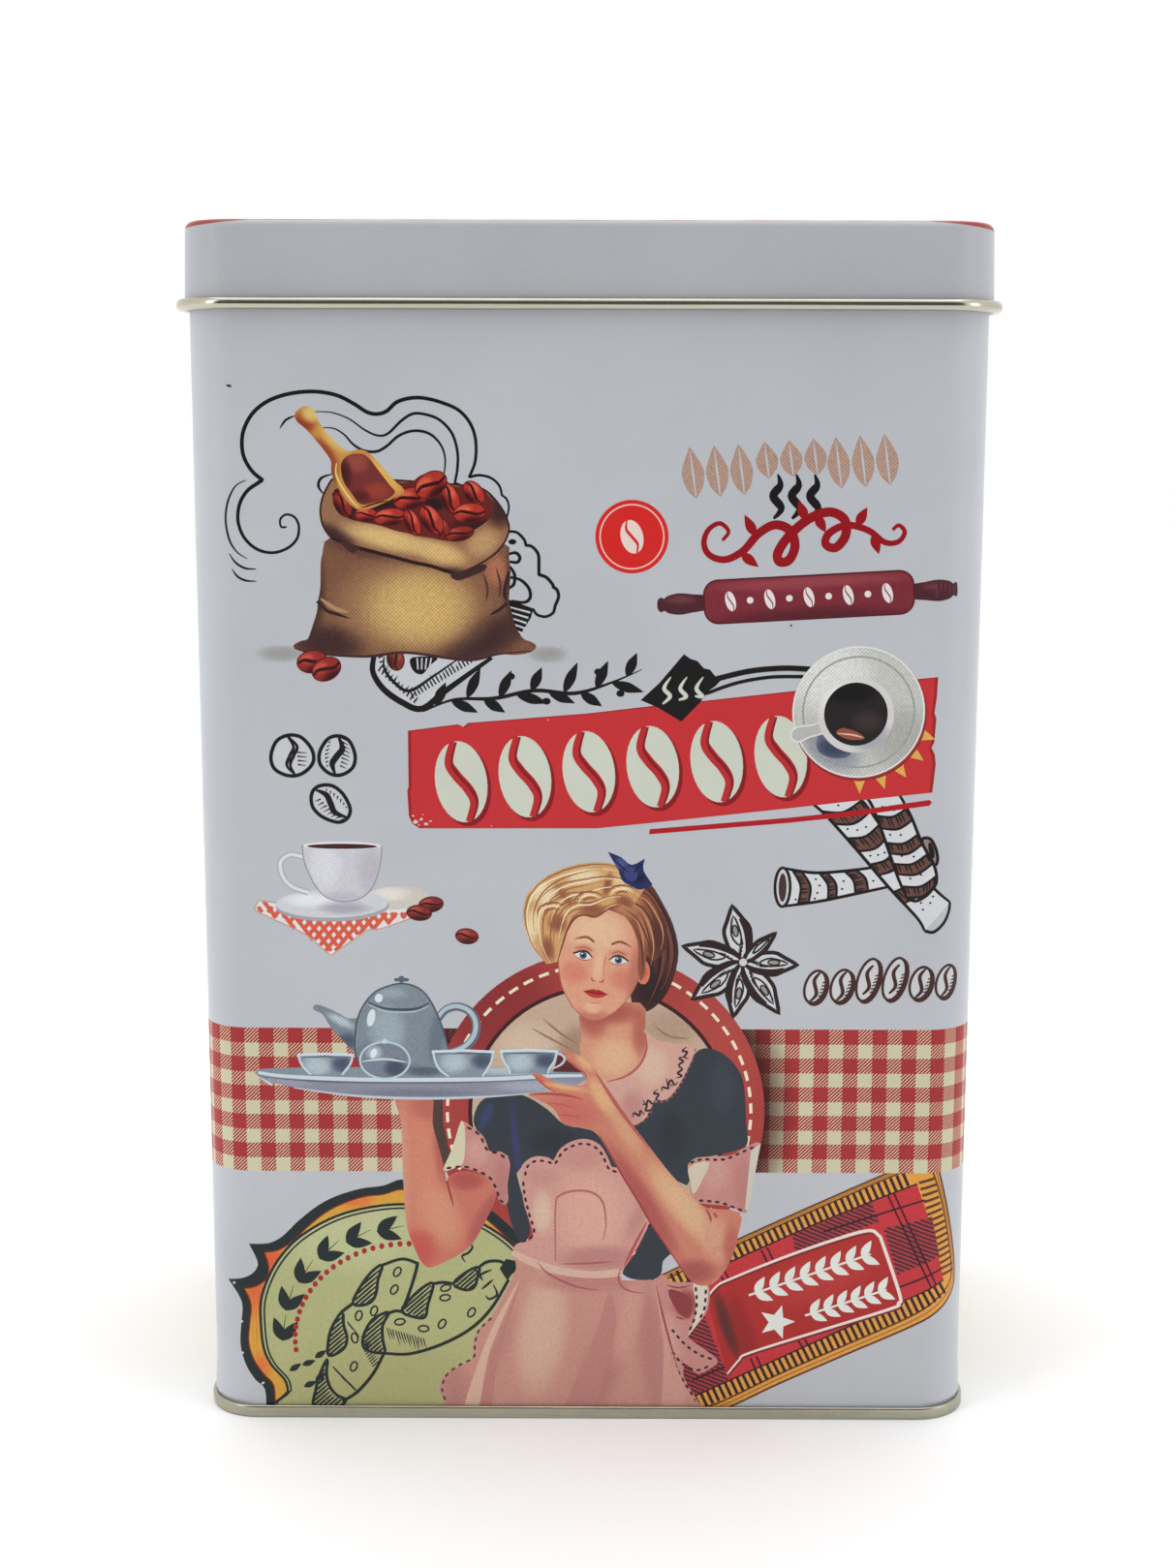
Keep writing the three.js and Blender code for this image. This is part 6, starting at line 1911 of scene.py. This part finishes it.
def draw_face(art):
    """A plain drawn face: the eyes are halfway down the head, and everything sits on even spacing."""
    outline = on_head(shape([(0, 9.6), (3.4, 8.8), (5.7, 6), (6.5, 2.4), (6.3, -1.4), (5.3, -5),
                             (3.4, -7.9), (1.4, -9.5), (0, -9.8), (-1.4, -9.5), (-3.4, -7.9), (-5.3, -5),
                             (-6.3, -1.4), (-6.5, 2.4), (-5.7, 6), (-3.4, 8.8)], 4))
    ear = on_head(oval(6.6, -1.2, 1.1, 2, 12, 20))
    art.fill(ear, shaded((214, 122, 94), ((186, 84, 72), *on_head([(6.7, -1.2)])[0], 0.7, 1.3)), grain=0.4)

    def spot(colour, u, v, reach_u, reach_v):
        x, z = on_head([(u, v)])[0]
        return (colour, x, z, reach_u, reach_v, HEAD_TILT)

    art.fill(outline,
             shaded((219, 158, 128), spot((228, 186, 152), -1.4, 4, 6, 4.4),
                    spot((214, 132, 112), -3.7, -2.8, 2.8, 2.3), spot((210, 130, 110), 3.9, -2.8, 2.8, 2.3),
                    spot((188, 112, 94), 6.4, -1.6, 2.6, 9), spot((196, 120, 100), 0.4, -9.8, 5, 2.2),
                    spot((228, 184, 150), -0.2, -1.4, 1.0, 3.2),
                    spot((226, 176, 144), -0.2, -7.9, 1.8, 1.2), spot((200, 132, 110), -2.7, 1, 1.9, 0.9),
                    spot((200, 132, 110), 2.7, 1, 1.9, 0.9)), screen=0.8, grain=0.36)
    art.ring(outline, 0.16, (180, 102, 84))
    for side in (-1, 1):
        eye = on_head(shape([(side * 1.35, -0.1), (side * 1.35, -0.1), (side * 2.1, 0.52), (side * 3, 0.6),
                             (side * 4.1, 0.1), (side * 4.1, 0.1), (side * 3.2, -0.5), (side * 2.1, -0.55)],
                            4))
        art.fill(eye, (226, 220, 214))
        art.fill(on_head(oval(side * 2.7, 0.02, 0.56, 0.56, 0, 16)), (64, 92, 122))
        art.fill(on_head(oval(side * 2.7, 0.02, 0.27, 0.27, 0, 12)), (22, 20, 26))
        art.fill(on_head(oval(side * 2.7 - 0.18, 0.24, 0.12, 0.12, 0, 8)), (244, 244, 240))
        lid = on_head(curve([(side * 1.25, -0.15), (side * 2.1, 0.58), (side * 3, 0.66),
                             (side * 4.25, 0.12)]))
        art.stroke(lid, 0.3, (58, 32, 34), (0.5, 0.9))
        art.stroke(on_head(curve([(side * 1.5, 0.9), (side * 2.6, 1.35), (side * 3.9, 0.95)])), 0.17,
                   (176, 92, 74), (0.3, 0.3))
        art.stroke(on_head(curve([(side * 1.6, -0.5), (side * 2.7, -0.72), (side * 3.8, -0.35)])), 0.14,
                   (160, 84, 72), (0.4, 0.4))
        brow = on_head(curve([(side * 1.3, 2.3), (side * 2.6, 2.9), (side * 4.4, 2.35)]))
        art.stroke(brow, 0.36, (132, 82, 54), (0.9, 0.15))
        art.stroke(on_head(curve([(side * 0.95, -3.2), (side * 0.75, -3.65), (side * 0.25, -3.75)])), 0.22,
                   (160, 70, 60), (0.6, 0.2))
    art.stroke(on_head(curve([(0.75, 0.9), (0.62, -1), (0.85, -2.9)])), 0.16, (206, 124, 98), (0.3, 0.3))
    upper = [(-1.9, -5.5), (-1.9, -5.5), (-0.9, -5.12), (-0.35, -4.98), (0, -5.1), (0.35, -4.98),
             (0.9, -5.12), (1.9, -5.5), (1.9, -5.5), (0.9, -5.56), (0, -5.6), (-0.9, -5.56)]
    lower = [(-1.9, -5.5), (-1.9, -5.5), (-0.9, -5.56), (0, -5.6), (0.9, -5.56), (1.9, -5.5), (1.9, -5.5),
             (1, -6.1), (0, -6.32), (-1, -6.1)]
    art.fill(on_head(shape(upper)), (166, 36, 44))
    art.fill(on_head(shape(lower)), (196, 56, 58))
    art.stroke(on_head(curve([(-2, -5.46), (-0.9, -5.56), (0, -5.6), (0.9, -5.56), (2, -5.46)])), 0.17,
               (96, 24, 32), (0.4, 0.4))
    art.stroke(on_head(curve([(-0.8, -7), (0, -7.12), (0.8, -7)])), 0.16, (198, 112, 88), (0.3, 0.3))


def draw_hair(art):
    """Auburn hair swept from the temple, fair hair rolled over the forehead, and a navy bow."""
    swept = shape([(2.6, 82), (5, 84.6), (8.4, 84.8), (10.8, 82), (12, 78.6), (11.8, 75.4), (10, 73.6),
                   (9, 74.4), (8.7, 72), (8.1, 70.4), (7.6, 72.4), (7.7, 75.4), (7.1, 78), (5.6, 80.4)])
    art.fill(swept,
             shaded((138, 80, 60), ((184, 126, 86), 6, 82.4, 3, 3), ((84, 46, 42), 11, 77, 2.6, 5),
                    ((172, 110, 78), 8.6, 79, 1.2, 4, 14)), screen=0.9, grain=0.45)
    combed(art, [(5, 84.4), (8.8, 84.4), (11.2, 81), (12, 77.6), (11, 74.4)],
           [(5.6, 80.8), (7.2, 78.4), (7.9, 76), (8.1, 73.6), (8.2, 71.4)], 9, (88, 48, 42),
           (196, 142, 100), 0.24)
    outer = [(8.6, 84.8), (5.8, 87.8), (1.8, 88.8), (-2.6, 88.2), (-6.4, 86.5), (-8.9, 84.2), (-9.8, 81.2),
             (-9.4, 78.2), (-8.2, 75.4), (-6.2, 73)]
    inner = [(6.6, 81.6), (5, 82.3), (3.2, 81.8), (1.2, 80.5), (-0.6, 80.9), (-2.0, 80.3), (-2.9, 78.4),
             (-3.5, 76.4), (-4.0, 74.8), (-4.5, 73.4)]
    roll = curve(outer) + curve(inner[::-1])
    art.fill(roll,
             shaded(HAIR, (HAIR_LIGHT, -6.8, 84, 2.4, 2.6, 40), (HAIR_LIGHT, -0.6, 86.6, 3.4, 1.6, 4),
                    (HAIR_LIGHT, -8.4, 79, 1.4, 3.4, -8), ((226, 196, 146), 5.4, 85.6, 2.4, 1.8, -24),
                    (HAIR_SHADE, -4.6, 79.4, 1.8, 2, 30), (HAIR_SHADE, 0.8, 81.4, 2.6, 1.5, -10),
                    (HAIR_SHADE, 5.6, 82.6, 2, 1.4, -30), (HAIR_SHADE, -3.4, 83.6, 0.9, 2.6, 38),
                    (HAIR_SHADE, 3, 85.4, 0.8, 2.4, -14), (HAIR_SHADE, -6, 75.4, 1.2, 2.6, 10)), screen=0.9,
             grain=0.4)
    combed(art, outer, inner, 13, (150, 96, 64), (242, 226, 190), 0.22)
    for x, z, start in ((-5.2, 80.9, 200), (0.4, 82.6, 190), (5.2, 83.6, 180)):
        for radius in (2.1, 1.5, 0.9):
            line = [(x + radius * math.cos(math.radians(a)) * 1.15,
                     z + radius * 0.8 * math.sin(math.radians(a)))
                    for a in (start - 20 * k for k in range(9))]
            art.stroke(line, 0.3, (148, 88, 60) if radius != 1.5 else (240, 222, 184), (0.15, 0.15))
    pen(art, 0.34,
        [(-4.6, 73.4), (-3.8, 76.2), (-3.1, 78.3), (-2.0, 80.1), (-0.6, 80.7), (1.2, 80.4), (3.2, 81.6),
         (5, 82.1)], ink=(124, 64, 50), ends=(0.2, 0.3))
    bow_colour = (38, 44, 92)
    art.fill(shape([(4.6, 87.6), (3, 90.4), (3, 90.4), (5, 89.6), (6.6, 88.4), (8.6, 89.4), (8.6, 89.4),
                    (8.4, 87.6), (9.8, 85.4), (9.8, 85.4), (8, 84.6), (6.4, 85.2), (5.2, 86)]),
             shaded(bow_colour, ((74, 84, 140), 5, 88.6, 1.4, 1.2), ((20, 24, 52), 7.6, 86.4, 1.4, 1)),
             grain=0.4)
    art.fill(oval(6.5, 87, 1, 1.2, 30, 14), (58, 66, 120))
    pen(art, 0.22, [(3.8, 89.4), (5, 88.2), (6, 87.4)], [(8.2, 88.6), (7.4, 87.8), (6.9, 87.2)],
        ink=(16, 18, 40))


def draw_front():
    """Everything on the front, from the back to the fore."""
    art = wall_drawing(FLAT_X, FRONT_TURN)
    draw_steam(art)
    draw_behind_sack(art)
    draw_sack(art)
    draw_ornaments(art)
    draw_wafers(art)
    draw_bean_row(art)
    draw_banner(art)
    draw_saucer(art)
    draw_small_things(art)
    draw_label(art)
    draw_cloth(art, FRONT_END)
    draw_disc(art)
    draw_anise(art)
    draw_medallion(art)
    draw_sleeve_side(art)
    draw_apron(art)
    draw_back_hair(art)
    draw_collar(art)
    draw_face(art)
    draw_hair(art)
    draw_tray(art)
    draw_right_arm(art)
    return art


# ---------------------------------------------------------------- the side pictures and the lid's top
def draw_side():
    """The side's pictures are the front's loose ones, one above the other."""
    art = wall_drawing(FLAT_Y, SIDE_TURN)
    art.upright_lines([GROOVE_HALF * share for share in (-1.0, -0.6, -0.25, 0.25, 0.6, 1.0)])
    art.shift = (27.0, 3.0)
    draw_steam(art)
    draw_sack(art)
    art.shift = (34.0, 8.0)
    draw_small_things(art)
    art.shift = (-36.0, 3.0)
    draw_anise(art)
    draw_bean_row(art)
    art.shift = (0.0, 0.0)
    draw_cloth(art, SIDE_END)
    art.shift = (28.7, 0.0)
    draw_medallion(art)
    return art


def rounded(inset, steps=18):
    """The tin's outline from above, inset from the wall's outer face."""
    found = []
    for corner, (sx, sy) in enumerate([(1, 1), (-1, 1), (-1, -1), (1, -1)]):
        found += [(sx * FLAT_X + (CORNER - inset) * math.cos(t),
                   sy * FLAT_Y + (CORNER - inset) * math.sin(t))
                  for t in (math.radians(90 * (corner + step / steps)) for step in range(steps + 1))]
    return found


def make_lid_print(material):
    """The lid's top: red with cream lines round it, and three beans in a ring of dots between two twigs."""
    edge = rounded(SHOULDER - LID_FIT + 0.02)
    art = Drawing((-HALF_WIDTH, -HALF_DEPTH), (HALF_WIDTH, HALF_DEPTH), LID_RED, edge)
    slope_top = LID_RIM + 0.024
    slope_foot = slope_top + LID_PANEL_RUN
    for inset in (slope_top, slope_foot):
        art.fill(rounded(inset), LID_RED)
    art.ring(rounded(slope_foot + 2.6, 8), 0.6, CREAM)
    art.ring(rounded(slope_foot + 4.0, 8), 0.25, CREAM)
    for radius, width in ((23.0, 0.7), (21.4, 0.25)):
        art.ring(oval(0, 0, radius, steps=80), width, CREAM)
    for step in range(40):
        turn = math.radians(9 * step)
        art.fill(oval(19.6 * math.cos(turn), 19.6 * math.sin(turn), 0.5, steps=8), CREAM)
    for x, z, tilt in ((-6.6, -3.4, 24), (0, 5, 0), (6.6, -3.4, -24)):
        cream_bean(art, x, z, 8.4, 12.4, tilt, CREAM, LID_RED)
    for side in (-1, 1):
        laurel(art, (side * 26.5, 0), (side * 45, 0), 7, 5.4, CREAM)

    def place(x, y, out):
        over_x, over_y = max(abs(x) - FLAT_X, 0.0), max(abs(y) - FLAT_Y, 0.0)
        if over_x and over_y:
            inset = CORNER - math.hypot(over_x, over_y)
        else:
            inset = min(HALF_WIDTH - abs(x), HALF_DEPTH - abs(y))
        drop = LID_PANEL_DROP * min(max((inset - slope_top) / LID_PANEL_RUN, 0.0), 1.0)
        return (x, y, HEIGHT - drop + out)

    return ink_mesh("print_lid", art, place, lambda x, y: (0.0, 0.0, 1.0), material, formed=True)


# ---------------------------------------------------------------- the pieces
def make_prints(material):
    """One print for each side of the wall. The back repeats the front, and the left repeats the right."""
    front_art = draw_front()
    side_art = draw_side()
    sides = (("print_front", front_art, (1, 0, 0), (0, -1, 0), FLAT_X, HALF_DEPTH, False),
             ("print_back", front_art, (-1, 0, 0), (0, 1, 0), FLAT_X, HALF_DEPTH, False),
             ("print_right", side_art, (0, 1, 0), (1, 0, 0), FLAT_Y, HALF_WIDTH, True),
             ("print_left", side_art, (0, -1, 0), (-1, 0, 0), FLAT_Y, HALF_WIDTH, False))
    prints = []
    for name, art, right, outward, flat_half, reach, grooved in sides:
        place, normal = panel_place(right, outward, flat_half, reach, grooved)
        depth = FILM_IN - GROOVE_DEPTH if grooved else FILM_IN
        prints.append(ink_mesh(name, art, place, normal, material, depth))
    return prints


make_camera()
make_floor()
make_light()

enamel = enamel_material()
lid_enamel = lid_material()
tinplate = metal_material("tinplate", (172, 171, 156), (180, 176, 156), 0.2)
tin_inside = metal_material("tin_inside", (222, 216, 198), (226, 212, 184), 0.3)
lid_inside = metal_material("lid_inside", (190, 188, 174), (192, 186, 166), 0.14)

printed = print_material()

wall_pieces = [make_wall(enamel, tin_inside)] + make_prints(printed)
base_shell = make_base(tinplate)
lid_shell = make_lid(lid_enamel, lid_inside)
print_lid = make_lid_print(printed)

for piece in wall_pieces:
    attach(piece, "body")
    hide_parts("body_wall")
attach(base_shell, "body")
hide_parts("base")
for piece in (lid_shell, print_lid):
    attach(piece, "lid")
    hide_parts("lid")
